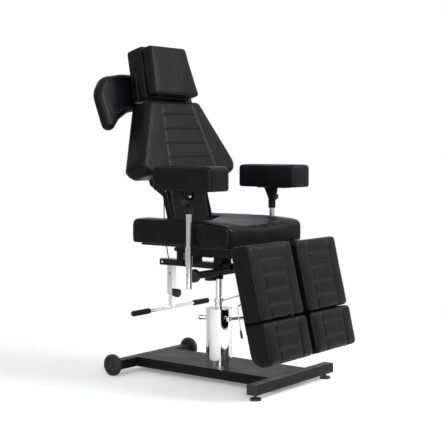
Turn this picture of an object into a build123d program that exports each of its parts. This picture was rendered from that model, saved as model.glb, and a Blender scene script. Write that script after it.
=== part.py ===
"""Hydraulic tattoo chair: split leg rests, reclining back, head rest with a rear wing pad, arm rests on posts.

Millimetres. +X is the sitter's left, -Y is where the sitter looks, +Z is up. Every place below is measured from
the axis of the pump column at the floor; save() then moves each piece so that the origin lies under the middle
of the whole chair's box.
"""

import os
from math import atan2, cos, degrees, hypot, radians, sin, tan

from build123d import *

os.makedirs("parts", exist_ok=True)

# Whole chair
column_shift = 16.7
overrun = 5.0
soft_gap = 0.4
running = 0.05
sides = {"right": -1, "left": 1}

# Base: two cross bars joined by a deck
bar_wall = 3.0
bar_depth = 50.0
bar_height = 44.0
bar_top = 69.0
bar_edge = 4.0
front_bar_half = 300.0
front_bar_y = -403.0
rear_bar_half = 258.0
rear_bar_y = 407.0
deck_half = 137.0
deck_wall = 4.0
cap_thickness = 3.0
cap_plug = 14.0
foot_x = 273.0
foot_radius = 25.0
foot_height = 9.0
foot_taper_angle = 12.0
foot_stem_radius = 5.0
foot_nut_radius = 9.0
foot_nut_height = 6.0
foot_nut_sides = 6
foot_engage = 20.0

# Rear wheels
wheel_radius = 50.0
wheel_width = 24.0
wheel_shoulder = 8.0
wheel_x = 278.0
wheel_recess_radius = 30.0
wheel_recess = 4.0
axle_radius = 6.0
axle_head_radius = 10.0
axle_head = 3.0

# Pump column
flange_height = 8.0
pump_radius = 34.0
pump_top = 308.0
ram_well_low = 90.0
cover_radius = 60.0
cover_wall = 1.6
cover_top = 320.0
cover_lid = 3.0
slot_turn = 23.0
slot_half = 17.0
slot_low = 250.0
slot_tip = 18.0
ear_reach = 55.0
ear_half_gap = 8.5
ear_thickness = 5.0
ear_height = 26.0
neck_radius = 18.0
neck_top = 364.0
ram_radius = 15.0
ram_low = 142.0

# Turn lock lever on the neck of the pump
clamp_radius = 23.0
clamp_height = 14.0
lever_radius = 3.0
lever_start = 20.5
lever_reach = 112.0
lever_rise = 30.0
lever_tip = 42.0
lever_tip_radius = 4.5
lever_x = 6.0

# Foot pedal
pedal_z = 281.0
pedal_pin_radius = 4.0
pedal_pin_reach = 47.5
pedal_half = 8.0
pedal_eye_radius = 12.0
pedal_rod_radius = 7.0
pedal_reach = 90.0
pedal_boss_radius = 10.0
pedal_side = 128.0
pedal_pad_start = 84.0
pedal_pad_radius = 11.0

# Saddle and lock knobs
grip_scoop = 5.5
brake_scoops = 8
knob_scoops = 6
saddle_half = 168.0
saddle_depth = 34.0
saddle_top = 500.0
saddle_height = 29.0
hub_radius = 20.0
hub_low = 455.0
end_knob_radius = 30.0
end_knob_length = 24.0
end_stud_radius = 6.0
end_stud = 5.0
brake_y = 48.0
brake_radius = 27.0
brake_low = 444.0
brake_high = 463.0
brake_stud_radius = 5.0

# Seat rail
rail_half = 25.0
rail_height = 30.0
rail_wall = 3.0
rail_front = -78.0
rail_rear = 336.0
rail_hole_y = 322.0
rail_hole_radius = 5.0
bracket_plate = 6.0
front_bracket_low_y = -38.0
front_bracket_high_y = 8.0
rear_bracket_low_y = 186.0
rear_bracket_high_y = 226.0
rear_web = 5.0
web_low = 580.0
bracket_overlap = 22.0

# Seat frame, board and cushion
side_plate_x = 240.0
side_plate_half = 3.0
side_low = 583.0
side_front = -288.0
side_rear = -58.0
cross_height = 22.0
cross_front = -70.0
cross_rear = 10.0
cross_plate = 5.0
board_low = 619.0
board_high = 634.0
board_inset = 23.0
board_front = -256.0
board_rear = 250.0
board_corner = 30.0
board_notch_half = 151.0
board_notch_front = 96.0
seat_low = 627.3
seat_thickness = 110.7
seat_half = 291.0
seat_front = -275.5
seat_rear = 289.0
seat_corner = 26.0
seat_notch_clear = 2.0
seat_notch_front = 118.0
seat_drop_share = 0.12
seat_front_curve_share = 0.6
seat_nose_share = 0.26
seat_rear_curve_share = 0.21
seat_heel_share = 0.15
seat_dish_share = 0.17
seat_pocket_gap = 0.3
seat_dish_half = 205.0
seat_crown_share = 0.11
seat_tuck_share = 0.05

# Back hinge and back frame
hinge_y = 150.0
hinge_z = 650.0
hinge_rod_radius = 8.0
hinge_tube_radius = 12.0
hinge_half = 168.0
lug_x = 157.0
lug_half = 4.0
lug_radius = 16.0
lug_foot = 25.6
back_bar_x = 147.0
back_bar_half = 4.0
back_bar_width = 24.0
back_bar_bend = 48.0
back_bar_rise = 190.2
crank_length = 95.0
crank_angle = 35.0
crank_half = 6.5
crank_plate = 5.0
crank_radius = 11.0
crank_pin_radius = 4.0

# Back cushion, on a plane that leans back
back_lean_angle = 18.7
back_y = 166.5
back_z = 1009.0
back_thickness = 117.0
back_board_thickness = 12.0
back_board_inset = 24.0
back_top_half = 186.0
back_top = 288.0
back_wide_half = 351.0
back_wide = -32.0
back_low_half = 314.0
back_low = -79.0
back_corner = 24.0
back_crown = 14.0
back_tuck = 6.0
back_seam_top = 105.0
back_seam_low = 172.0
back_channels = (0.0, 68.0, 137.0, 207.0)
channel_width = 7.0

# Lumbar panel
lumbar_lean_angle = 12.0
lumbar_y = 146.0
lumbar_z = 684.0
lumbar_half = 136.5
lumbar_height = 232.0
lumbar_thickness = 27.0
lumbar_corner = 12.0
lumbar_bolt_radius = 8.0
lumbar_bolt_up = 118.0

# Gas spring
gas_radius = 11.0
gas_front = -64.0
gas_rear = 66.0
gas_rod_radius = 4.0
gas_rod_in = 60.0
eye_half = 4.0
eye_radius = 6.0
eye_side_play = 1.9
eye_end_play = 1.2
gas_foot_half = 10.0
gas_foot = 12.0

# Head rest, on a plane that leans back a little less
head_lean_angle = 15.2
head_y = 236.8
head_z = 1296.0
head_low_half = 163.0
head_top_half = 131.0
head_height = 243.0
head_corner = 12.0
front_pad_thickness = 54.0
head_gap = 0.3
rear_pad_thickness = 99.7
rear_pad_low = -5.0
rear_pad_high = 254.0
head_post_x = 70.0
head_post_radius = 6.0
head_post_back = 104.0
head_post_low = -150.0
head_post_high = 60.0
head_post_end = 18.0

# Wing pad behind the head rest
wing_front = 177.0
wing_thickness = 58.0
wing_half = 340.0
wing_high = 160.0
wing_shoulder = 66.0
wing_lobe_x = 292.0
wing_lobe_low = -116.0
wing_lobe_half = 52.0
wing_notch_x = 150.0
wing_notch = -20.0
wing_mid = -4.0
wing_crown = 14.0
wing_hinge_up = 152.0
wing_pin_radius = 4.0
wing_knuckle_radius = 10.0
wing_knuckle_half = 60.0
wing_ear = 9.0
wing_ear_gap = 0.5
wing_strip = 2.5
wing_strip_low = 88.0
wing_strip_high = 126.0
wing_plate_low = 70.0

# Recline release cable
cable_radius = 2.5
cable_bend_share = 0.45
cable_route = ((302.0, 530.9), (322.0, 620.0), (330.0, 730.0), (328.0, 850.0), (300.0, 925.0), (284.0, 948.0))

# T-bar behind the column
tee_y = 283.0
tee_sleeve_half = 15.0
tee_sleeve_low = 362.0
tee_post_half = 11.0
tee_bar_z = 300.0
tee_bar_half = 272.0
tee_bar_radius = 8.5
tee_grip_radius = 13.0
tee_grip_length = 108.0
tee_up = 45.0
tee_hole_radius = 4.0
tee_hole_step = 26.0
tee_hole_first = 384.0
tee_holes = 4
tee_knob_z = 369.0
tee_knob_radius = 20.0
tee_knob_length = 22.0
tee_stud_radius = 4.0
tee_stud = 6.0

# Arm rests
arm_clear = 8.5
arm_y = -77.0
arm_post_radius = 12.5
arm_sleeve_radius = 15.5
arm_sleeve_low = 550.0
arm_sleeve_high = 628.0
arm_tab_half = 14.0
arm_tab_low = 556.0
arm_tab_high = 583.0
arm_post_low = 446.0
arm_post_high = 782.0
arm_hole_z = 507.0
arm_hole_radius = 3.0
arm_head_radius = 17.0
arm_head_grip = 12.0
arm_head_cap = 18.0
arm_ear_half = 8.0
arm_pivot_rise = 40.0
arm_pivot_radius = 5.0
arm_ear_radius = 15.0
cheek_gap = 9.0
cheek_plate = 4.0
cheek_rear_y = 20.0
cheek_rise = 83.0
arm_board_half = 30.0
arm_board_length = 160.0
arm_board_thickness = 4.0
arm_board_corner = 8.0
arm_pad_half = 72.0
arm_pad_front = -250.0
arm_pad_rear = 76.0
arm_pad_thickness = 107.0
arm_pad_corner = 14.0
arm_pad_crown = 9.0
arm_pad_tuck = 4.0
arm_knob_radius = 16.0
arm_knob_length = 20.0

# Leg rests, on a plane that hangs forward
leg_lean_angle = 13.7
leg_y = -300.0
leg_z = 608.0
leg_tube_radius = 12.0
leg_axle_radius = 7.0
leg_axle_half = 252.0
leg_tube_in = 34.0
leg_tube_out = 236.0
leg_inner = 16.0
leg_outer = 343.0
leg_top = 21.0
leg_length = 321.0
leg_rear = 19.0
leg_thickness = 99.0
leg_corner = 12.0
leg_crown = 10.0
leg_tuck = 5.0
leg_seams_share = (0.24, 0.76)
leg_channels_share = (0.2, 0.4, 0.6, 0.8)
leg_arm_half = 20.0
leg_arm_plate = 4.0
splay_in = 272.0
splay_down = 26.0
splay_pin_radius = 8.0
splay_disc_radius = 22.0
splay_disc = 2.0
foot_rod_radius = 6.0
foot_rod_half = 82.0
foot_rod_back = 10.0
foot_rod_high = 130.0
foot_rod_low = 392.0
foot_guide_radius = 8.5
foot_guide_high = 170.0
foot_guide_low = 288.0
foot_pad_high = 302.5
foot_pad_low = 485.0
foot_pad_thickness = 104.0
foot_pad_curve = 62.0
foot_pad_nose = 16.0
foot_channels_share = (0.3, 0.66)


def save(piece, name):
    """Label a finished piece, place it about the middle of the chair and write its file."""
    placed = Pos(0, column_shift, 0) * piece
    placed.label = name
    export_step(placed, f"parts/{name}.step")


def leaning(y, z, lean):
    """A plane across the chair that leans back by lean degrees: its y runs up the pad and its z out of the front."""
    return Plane(origin=(0, y, z), x_dir=(1, 0, 0), z_dir=(0, -cos(radians(lean)), sin(radians(lean))))


def inset(corners, amount):
    """The corners of a polygon, given anticlockwise, with every side moved in by amount."""
    moved = []
    count = len(corners)
    for i in range(count):
        (ax, ay), (bx, by), (cx, cy) = corners[i - 1], corners[i], corners[(i + 1) % count]
        first, second = hypot(bx - ax, by - ay), hypot(cx - bx, cy - by)
        n1 = ((ay - by) / first, (bx - ax) / first)
        n2 = ((by - cy) / second, (cx - bx) / second)
        reach = amount / (1 + n1[0] * n2[0] + n1[1] * n2[1])
        moved.append((bx + (n1[0] + n2[0]) * reach, by + (n1[1] + n2[1]) * reach))
    return moved


# Heights up a pad, as shares of its thickness, with the shares of its tuck and crown that its outline is drawn in
pad_layers_share = (
    (0.0, 1.0, 0.0),
    (0.16, 0.25, 0.0),
    (0.45, 0.0, 0.0),
    (0.72, 0.1, 0.04),
    (0.88, 0.2, 0.3),
    (0.96, 0.2, 0.62),
    (1.0, 0.2, 1.0),
)


def soft_pad(plane, corners, rear, thickness, corner, crown, tuck):
    """A stuffed pad: its sides pull in towards the board and its front edge rounds over to the crown."""
    with BuildPart() as pad:
        for height, tucked, crowned in pad_layers_share:
            with BuildSketch(plane.offset(rear + thickness * height)):
                with BuildLine():
                    FilletPolyline(*inset(corners, tuck * tucked + crown * crowned), radius=corner, close=True)
                make_face()
        loft(ruled=True)
    return pad.part


def groove(plane, start, end, height):
    """A sewn channel: a square bar turned on its edge, half sunk in the face from start to end."""
    run = hypot(end[0] - start[0], end[1] - start[1])
    turn = degrees(atan2(end[1] - start[1], end[0] - start[0]))
    middle = ((start[0] + end[0]) / 2, (start[1] + end[1]) / 2)
    place = plane.offset(height).location * Pos(*middle) * Rot(0, 0, turn) * Rot(45, 0, 0)
    return place * Box(run, channel_width, channel_width, mode=Mode.PRIVATE)


def box(x_low, x_high, y_low, y_high, z_low, z_high):
    """A square-edged block between six faces."""
    centre = ((x_low + x_high) / 2, (y_low + y_high) / 2, (z_low + z_high) / 2)
    return Pos(*centre) * Box(x_high - x_low, y_high - y_low, z_high - z_low, mode=Mode.PRIVATE)


def rod(start, end, radius):
    """A round bar from start to end."""
    path = Vector(*end) - Vector(*start)
    plane = Plane(origin=start, z_dir=path)
    upright = (Align.CENTER, Align.CENTER, Align.MIN)
    return plane.location * Cylinder(radius, path.length, align=upright, mode=Mode.PRIVATE)


# Base bars and deck
bar_low = bar_top - bar_height
wheel_z = wheel_radius


def cross_bar(name, half, y):
    """A rectangular steel tube across the base."""
    with BuildPart() as bar:
        with BuildSketch(Plane.YZ.offset(-half)):
            with Locations((y, bar_top - bar_height / 2)):
                RectangleRounded(bar_depth, bar_height, bar_edge)
                RectangleRounded(
                    bar_depth - 2 * bar_wall,
                    bar_height - 2 * bar_wall,
                    bar_edge - bar_wall,
                    mode=Mode.SUBTRACT,
                )
        extrude(amount=2 * half)
        if name == "rear_crossbar":
            with Locations(Location((0, y, wheel_z), (0, 90, 0))):
                Cylinder(axle_radius + running, 2 * half + overrun, mode=Mode.SUBTRACT)
        else:
            with Locations((-foot_x, y, bar_low), (foot_x, y, bar_low)):
                Cylinder(foot_stem_radius + running, 2 * bar_wall + overrun, mode=Mode.SUBTRACT)
    save(bar.part, name)


cross_bar("front_crossbar", front_bar_half, front_bar_y)
cross_bar("rear_crossbar", rear_bar_half, rear_bar_y)

deck_front = front_bar_y + bar_depth / 2
deck_rear = rear_bar_y - bar_depth / 2
with BuildPart() as deck:
    with BuildSketch(Plane.XZ.offset(-deck_rear)):
        with Locations((0, bar_top - bar_height / 2)):
            Rectangle(2 * deck_half, bar_height)
        with Locations((0, bar_top - bar_height / 2 - deck_wall)):
            Rectangle(2 * (deck_half - deck_wall), bar_height, mode=Mode.SUBTRACT)
    extrude(amount=deck_rear - deck_front)
save(deck.part, "base_deck")

with BuildPart() as caps:
    for y, half in ((front_bar_y, front_bar_half), (rear_bar_y, rear_bar_half)):
        for side in sides.values():
            outward = Plane.YZ.offset(side * half)
            with BuildSketch(outward):
                with Locations((y, bar_top - bar_height / 2)):
                    RectangleRounded(bar_depth, bar_height, bar_edge)
            extrude(amount=side * cap_thickness)
            with BuildSketch(outward):
                with Locations((y, bar_top - bar_height / 2)):
                    Rectangle(bar_depth - 2 * bar_wall - bar_edge / 2, bar_height - 2 * bar_wall - bar_edge / 2)
            extrude(amount=-side * cap_plug)
    with Locations(Location((0, rear_bar_y, wheel_z), (0, 90, 0))):
        Cylinder(axle_radius + running, 2 * rear_bar_half + 4 * cap_plug, mode=Mode.SUBTRACT)
save(caps.part, "bar_end_caps")

with BuildPart() as feet:
    for side in sides.values():
        with BuildSketch(Plane.XY):
            with Locations((side * foot_x, front_bar_y)):
                Circle(foot_radius)
        extrude(amount=foot_height, taper=foot_taper_angle)
        with BuildSketch(Plane.XY.offset(foot_height)):
            with Locations((side * foot_x, front_bar_y)):
                Circle(foot_stem_radius)
        extrude(amount=bar_low + foot_engage - foot_height)
        with BuildSketch(Plane.XY.offset(bar_low - foot_nut_height)):
            with Locations((side * foot_x, front_bar_y)):
                RegularPolygon(foot_nut_radius, foot_nut_sides)
        extrude(amount=foot_nut_height)
save(feet.part, "levelling_feet")

# Rear axle and wheels
wheel_outer = wheel_x + wheel_width / 2
with BuildPart() as axle:
    with Locations(Location((0, rear_bar_y, wheel_z), (0, 90, 0))):
        Cylinder(axle_radius, 2 * wheel_outer)
    for side in sides.values():
        with Locations(Location((side * (wheel_outer - wheel_recess + axle_head / 2 + running), rear_bar_y, wheel_z),
                                (0, 90, 0))):
            Cylinder(axle_head_radius, axle_head)
save(axle.part, "rear_axle")

for word, side in sides.items():
    with BuildPart() as wheel:
        with BuildSketch(Plane.XZ.offset(-rear_bar_y)):
            with Locations((side * wheel_x, wheel_z + wheel_radius / 2)):
                Rectangle(wheel_width, wheel_radius)
            outer = vertices().group_by(Axis.Z)[-1]
            fillet(outer, radius=wheel_shoulder)
            for face_side in (-1, 1):
                with Locations((side * wheel_x + face_side * (wheel_width - wheel_recess) / 2,
                                wheel_z + wheel_recess_radius / 2)):
                    Rectangle(wheel_recess, wheel_recess_radius, mode=Mode.SUBTRACT)
            with Locations((side * wheel_x, wheel_z + (axle_radius + running) / 2)):
                Rectangle(wheel_width + overrun, axle_radius + running, mode=Mode.SUBTRACT)
        revolve(axis=Axis((0, rear_bar_y, wheel_z), (1, 0, 0)))
    save(wheel.part, f"{word}_wheel")

# Pump body, and the cover with the neck that guides the ram
slot_heading = radians(-90 - slot_turn)
slot_out = (cos(slot_heading), sin(slot_heading))
slot_plane = Plane(origin=(0, 0, 0), x_dir=(slot_out[0], slot_out[1], 0), z_dir=(slot_out[1], -slot_out[0], 0))
flange_top = bar_top + flange_height
with BuildPart() as pump:
    with BuildSketch(Plane.XY.offset(bar_top)):
        Circle(cover_radius - cover_wall - soft_gap)
    extrude(amount=flange_height)
    with BuildSketch(Plane.XY.offset(flange_top)):
        Circle(pump_radius)
    extrude(amount=pump_top - flange_top)
    with BuildSketch(slot_plane):
        with Locations((ear_reach / 2, pedal_z)):
            Rectangle(ear_reach, ear_height)
    extrude(amount=ear_half_gap + ear_thickness, both=True)
    with BuildSketch(slot_plane):
        with Locations((pump_radius + ear_reach / 2, pedal_z)):
            Rectangle(ear_reach, ear_height + overrun)
    extrude(amount=ear_half_gap, both=True, mode=Mode.SUBTRACT)
    with BuildSketch(slot_plane):
        with Locations((pedal_pin_reach, pedal_z)):
            Circle(pedal_pin_radius + running)
    extrude(amount=ear_half_gap + ear_thickness + overrun, both=True, mode=Mode.SUBTRACT)
    with BuildSketch(Plane.XY.offset(ram_well_low)):
        Circle(ram_radius + running)
    extrude(amount=pump_top - ram_well_low + overrun, mode=Mode.SUBTRACT)
save(pump.part, "pump_body")

with BuildPart() as cover:
    with BuildSketch(Plane.XY.offset(bar_top)):
        Circle(cover_radius)
        Circle(cover_radius - cover_wall, mode=Mode.SUBTRACT)
    extrude(amount=cover_top - bar_top)
    with BuildSketch(Plane.XY.offset(cover_top - cover_lid)):
        Circle(cover_radius)
        Circle(neck_radius, mode=Mode.SUBTRACT)
    extrude(amount=cover_lid)
    with BuildSketch(Plane(origin=(0, 0, 0), x_dir=(-slot_out[1], slot_out[0], 0), z_dir=(slot_out[0], slot_out[1], 0))):
        with BuildLine():
            Polyline(
                (-slot_half, cover_top - cover_lid),
                (-slot_half, slot_low),
                (0, slot_low - slot_tip),
                (slot_half, slot_low),
                (slot_half, cover_top - cover_lid),
                close=True,
            )
        make_face()
    extrude(amount=cover_radius + overrun, mode=Mode.SUBTRACT)
    with BuildSketch(Plane.XY.offset(pump_top)):
        Circle(neck_radius)
        Circle(ram_radius + running, mode=Mode.SUBTRACT)
    extrude(amount=neck_top - pump_top)
save(cover.part, "pump_cover")

clamp_low = neck_top - clamp_height
lever_z = clamp_low + clamp_height / 2
with BuildPart() as lever:
    with BuildSketch(Plane.XY.offset(clamp_low)):
        Circle(clamp_radius)
        Circle(neck_radius + running, mode=Mode.SUBTRACT)
    extrude(amount=clamp_height)
    fillet(lever.edges().filter_by(GeomType.CIRCLE).sort_by(SortBy.RADIUS)[-2:], radius=bar_edge / 2)
    tip_share = 1 - lever_tip / lever_reach
    lever_end = (lever_x, -lever_reach, lever_z + lever_rise)
    grip_start = (lever_x, -lever_start - (lever_reach - lever_start) * tip_share, lever_z + lever_rise * tip_share)
    add(rod((lever_x, -lever_start, lever_z), lever_end, lever_radius))
    add(rod(grip_start, lever_end, lever_tip_radius))
save(lever.part, "turn_lock_lever")

with BuildPart() as ram:
    with BuildSketch(Plane.XY.offset(ram_low)):
        Circle(ram_radius)
    extrude(amount=saddle_top - saddle_height - running - ram_low)
save(ram.part, "ram")

# Foot pedal: an eye on the pump's pin, a round arm out through the slot and a foot bar to one side
with BuildPart() as pedal:
    with BuildSketch(slot_plane):
        with Locations((pedal_pin_reach, pedal_z)):
            Circle(pedal_eye_radius)
    extrude(amount=pedal_half, both=True)
    for face in (-1, 1):
        with BuildSketch(slot_plane.offset(face * (ear_half_gap + ear_thickness))):
            with Locations((pedal_pin_reach, pedal_z)):
                Circle(pedal_pin_radius)
        extrude(amount=-face * (ear_half_gap + ear_thickness))
    arm_start = (slot_out[0] * pedal_pin_reach, slot_out[1] * pedal_pin_reach, pedal_z)
    arm_end = (slot_out[0] * pedal_reach, slot_out[1] * pedal_reach, pedal_z)
    bar_end = (arm_end[0] - slot_out[1] * pedal_side, arm_end[1] + slot_out[0] * pedal_side, pedal_z)
    pad_start = (arm_end[0] - slot_out[1] * pedal_pad_start, arm_end[1] + slot_out[0] * pedal_pad_start, pedal_z)
    add(rod(arm_start, arm_end, pedal_rod_radius))
    with BuildSketch(Plane.XY.offset(pedal_z - pedal_boss_radius)):
        with Locations(arm_end[:-1]):
            Circle(pedal_boss_radius)
    extrude(amount=2 * pedal_boss_radius)
    add(rod(arm_end, pad_start, pedal_rod_radius))
    add(rod(pad_start, bar_end, pedal_pad_radius))
save(pedal.part, "foot_pedal")

# Saddle: hub on the ram, cross tube and lock knobs
saddle_low = saddle_top - saddle_height
with BuildPart() as saddle:
    with BuildSketch(Plane.YZ.offset(-saddle_half)):
        with Locations((0, saddle_top - saddle_height / 2)):
            RectangleRounded(saddle_depth, saddle_height, bar_edge)
    extrude(amount=2 * saddle_half)
    with BuildSketch(Plane.XY.offset(hub_low)):
        Circle(hub_radius)
        Circle(ram_radius + running, mode=Mode.SUBTRACT)
    extrude(amount=saddle_low - hub_low)
    with BuildSketch(Plane.XY.offset(saddle_low)):
        with Locations((0, brake_y - saddle_depth / 2)):
            Rectangle(2 * brake_radius, saddle_depth)
    extrude(amount=saddle_height / 2)
save(saddle.part, "saddle")

with BuildPart() as end_knobs:
    for side in sides.values():
        with BuildSketch(Plane.YZ.offset(side * saddle_half)):
            with Locations((0, saddle_top - saddle_height / 2)):
                Circle(end_stud_radius)
        extrude(amount=side * (end_stud + end_knob_length))
        with BuildSketch(Plane.YZ.offset(side * (saddle_half + end_stud))):
            with Locations((0, saddle_top - saddle_height / 2)):
                Circle(end_knob_radius)
        extrude(amount=side * end_knob_length)
        rim = end_knobs.edges().filter_by(GeomType.CIRCLE).sort_by(Axis.X)
        fillet(rim[-1] if side > 0 else rim[0], radius=bar_edge)
save(end_knobs.part, "saddle_knobs")

with BuildPart() as brake:
    with BuildSketch(Plane.XY.offset(brake_low)):
        with Locations((0, brake_y)):
            Circle(brake_radius)
            with PolarLocations(brake_radius + grip_scoop / 2, brake_scoops):
                Circle(grip_scoop, mode=Mode.SUBTRACT)
    extrude(amount=brake_high - brake_low)
    with BuildSketch(Plane.XY.offset(brake_high)):
        with Locations((0, brake_y)):
            Circle(brake_stud_radius)
    extrude(amount=saddle_low - running - brake_high)
save(brake.part, "turn_brake_knob")

# Seat rail with the square sleeve that hangs under its rear end, and the brackets that carry the seat on it
rail_low = saddle_top
rail_top = rail_low + rail_height
with BuildPart() as rail:
    with BuildSketch(Plane.XZ.offset(-rail_rear)):
        with Locations((0, rail_low + rail_height / 2)):
            RectangleRounded(2 * rail_half, rail_height, bar_edge)
            RectangleRounded(2 * (rail_half - rail_wall), rail_height - 2 * rail_wall, bar_edge - rail_wall,
                             mode=Mode.SUBTRACT)
    extrude(amount=rail_rear - rail_front)
    with Locations(Location((0, rail_hole_y, rail_low + rail_height / 2), (0, 90, 0))):
        Cylinder(rail_hole_radius, 2 * rail_half + overrun, mode=Mode.SUBTRACT)
    with BuildSketch(Plane.XY.offset(tee_sleeve_low)):
        with Locations((0, tee_y)):
            Rectangle(2 * tee_sleeve_half, 2 * tee_sleeve_half)
            Rectangle(2 * (tee_post_half + running), 2 * (tee_post_half + running), mode=Mode.SUBTRACT)
    extrude(amount=rail_low - tee_sleeve_low)
    for i in range(tee_holes):
        with Locations(Location((-tee_sleeve_half, tee_y, tee_hole_first + tee_hole_step * i), (0, 90, 0))):
            Cylinder(tee_hole_radius, 2 * tee_sleeve_half, mode=Mode.SUBTRACT)
    with Locations(Location((0, tee_y - tee_sleeve_half, tee_knob_z), (90, 0, 0))):
        Cylinder(tee_stud_radius + running, 2 * tee_sleeve_half, mode=Mode.SUBTRACT)
save(rail.part, "seat_rail")

bracket_low = rail_top - bracket_overlap


with BuildPart() as brackets:
    for low_y, high_y, web_y in (
        (front_bracket_low_y, front_bracket_high_y, front_bracket_low_y),
        (rear_bracket_low_y, rear_bracket_high_y, rear_bracket_high_y - rear_web),
    ):
        for side in sides.values():
            with BuildSketch(Plane.YZ.offset(side * rail_half)):
                with BuildLine():
                    Polyline((low_y, board_low), (low_y, rail_top), (low_y + bar_edge, bracket_low),
                             (high_y - bar_edge, bracket_low), (high_y, rail_top), (high_y, board_low), close=True)
                make_face()
            extrude(amount=side * bracket_plate)
        add(box(-rail_half - bracket_plate, rail_half + bracket_plate, web_y, web_y + rear_web,
                web_low, board_low))
save(brackets.part, "rail_brackets")

# Seat frame: side plates, a cross channel, arm tabs and leg hinge ears
board_half = seat_half - board_inset
seat_notch_half = hinge_half + seat_notch_clear
leg_plane = leaning(leg_y, leg_z, leg_lean_angle)
arm_x = seat_half + arm_clear + arm_post_radius
sleeve_inner = arm_x - arm_sleeve_radius
with BuildPart() as frame:
    for side in sides.values():
        inner = side * (side_plate_x - side_plate_half)
        with BuildSketch(Plane.YZ.offset(inner)):
            with BuildLine():
                Polyline((side_front, board_low), (side_front, side_low), (side_rear, side_low),
                         (side_rear, board_low), close=True)
            make_face()
            with Locations((leg_y, leg_z)):
                Circle(leg_tube_radius)
            with Locations(((leg_y + side_front) / 2, leg_z)):
                Rectangle(side_front - leg_y, 2 * leg_tube_radius - bar_edge)
            with Locations((leg_y, leg_z)):
                Circle(leg_axle_radius + running, mode=Mode.SUBTRACT)
        extrude(amount=side * 2 * side_plate_half)
        add(box(min(side * side_plate_x, side * sleeve_inner), max(side * side_plate_x, side * sleeve_inner),
                arm_y - arm_tab_half, arm_y + arm_tab_half, arm_tab_low, arm_tab_high))
        add(box(min(inner, side * (side_plate_x + side_plate_half)), max(inner, side * (side_plate_x + side_plate_half)),
                arm_y - arm_tab_half, arm_y + arm_tab_half, arm_tab_low, board_low))
    add(box(-side_plate_x, side_plate_x, cross_front, cross_front + cross_plate, board_low - cross_height, board_low))
    add(box(-side_plate_x, side_plate_x, cross_rear, cross_rear + cross_plate, board_low - cross_height, board_low))
    add(box(-side_plate_x, side_plate_x, side_front, side_front + cross_plate, board_low - cross_height, board_low))
    for side in sides.values():
        inner = side * (side_plate_x - side_plate_half)
        add(box(min(inner, inner + side * 2 * side_plate_half), max(inner, inner + side * 2 * side_plate_half),
                side_rear, cross_rear + cross_plate, board_low - cross_height, board_low))
    with BuildSketch(Plane.YZ.offset(-bracket_plate / 2)):
        with Locations((leg_y, leg_z)):
            Circle(leg_tube_radius)
        with Locations(((leg_y + side_front) / 2, leg_z)):
            Rectangle(side_front - leg_y, 2 * leg_tube_radius - bar_edge)
        with Locations((leg_y, leg_z)):
            Circle(leg_axle_radius + running, mode=Mode.SUBTRACT)
    extrude(amount=bracket_plate)
save(frame.part, "seat_frame")

with BuildPart() as board:
    with BuildSketch(Plane.XY.offset(board_low)):
        with Locations((0, (board_front + board_rear) / 2)):
            RectangleRounded(2 * board_half, board_rear - board_front, board_corner)
        with Locations((0, (board_notch_front + board_rear + overrun) / 2)):
            Rectangle(2 * board_notch_half, board_rear + overrun - board_notch_front, mode=Mode.SUBTRACT)
    extrude(amount=board_high - board_low)
save(board.part, "seat_board")

seat_depth = seat_rear - seat_front
seat_plane = Plane(origin=(0, 0, 0), x_dir=(1, 0, 0), z_dir=(0, 0, 1))
seat_outline = [(-seat_half, seat_front), (seat_half, seat_front), (seat_half, seat_rear), (-seat_half, seat_rear)]
seat_top = seat_low + seat_thickness
seat_block = soft_pad(seat_plane, seat_outline, seat_low, seat_thickness, seat_corner,
                      seat_thickness * seat_crown_share, seat_thickness * seat_tuck_share)
seat_drop = seat_thickness * seat_drop_share
seat_dish = seat_thickness * seat_dish_share
seat_curves = [seat_thickness * share for share in (seat_heel_share, seat_rear_curve_share,
                                                    seat_front_curve_share, seat_nose_share)]
with BuildPart() as seat:
    add(seat_block)
    with BuildSketch(Plane.YZ.offset(-seat_half - overrun)):
        with BuildLine():
            FilletPolyline(
                (seat_front, seat_low),
                (seat_rear, seat_low),
                (seat_rear, seat_top),
                (seat_front + seat_dish_half, seat_top),
                (seat_front, seat_top - seat_drop),
                radius=[bar_edge, *seat_curves],
                close=True,
            )
        make_face()
    extrude(amount=2 * (seat_half + overrun), mode=Mode.INTERSECT)
    dish_radius = (seat_dish_half**2 + seat_dish**2) / (2 * seat_dish)
    with Locations(Location((0, 0, seat_top + dish_radius - seat_dish), (90, 0, 0))):
        Cylinder(dish_radius, 3 * seat_depth, mode=Mode.SUBTRACT)
    add(box(-seat_notch_half, seat_notch_half, seat_notch_front, seat_rear + overrun,
            seat_low - overrun, seat_top + overrun), mode=Mode.SUBTRACT)
    with BuildSketch(Plane.XY.offset(board_low)):
        with Locations((0, (board_front + board_rear) / 2)):
            RectangleRounded(2 * (board_half + seat_pocket_gap), board_rear - board_front + 2 * seat_pocket_gap,
                             board_corner)
    extrude(amount=board_high - board_low + seat_pocket_gap, mode=Mode.SUBTRACT)
save(seat.part, "seat_cushion")

# Back hinge: a rod held by two lugs that stand on the seat board
with BuildPart() as hinge:
    with Locations(Location((0, hinge_y, hinge_z), (0, 90, 0))):
        Cylinder(hinge_rod_radius, 2 * (lug_x + lug_half))
    for side in sides.values():
        with BuildSketch(Plane.YZ.offset(side * (lug_x - lug_half))):
            with BuildLine():
                Polyline((hinge_y - lug_radius, hinge_z), (hinge_y - lug_foot, board_high),
                         (hinge_y + lug_foot, board_high), (hinge_y + lug_radius, hinge_z), close=True)
            make_face()
            with Locations((hinge_y, hinge_z)):
                Circle(lug_radius)
        extrude(amount=side * 2 * lug_half)
save(hinge.part, "back_hinge")

# Back frame: pivot tube, two side bars that run up behind the back board, and the crank for the gas spring
back_plane = leaning(back_y, back_z, back_lean_angle)
board_back = back_thickness + back_board_thickness


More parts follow.
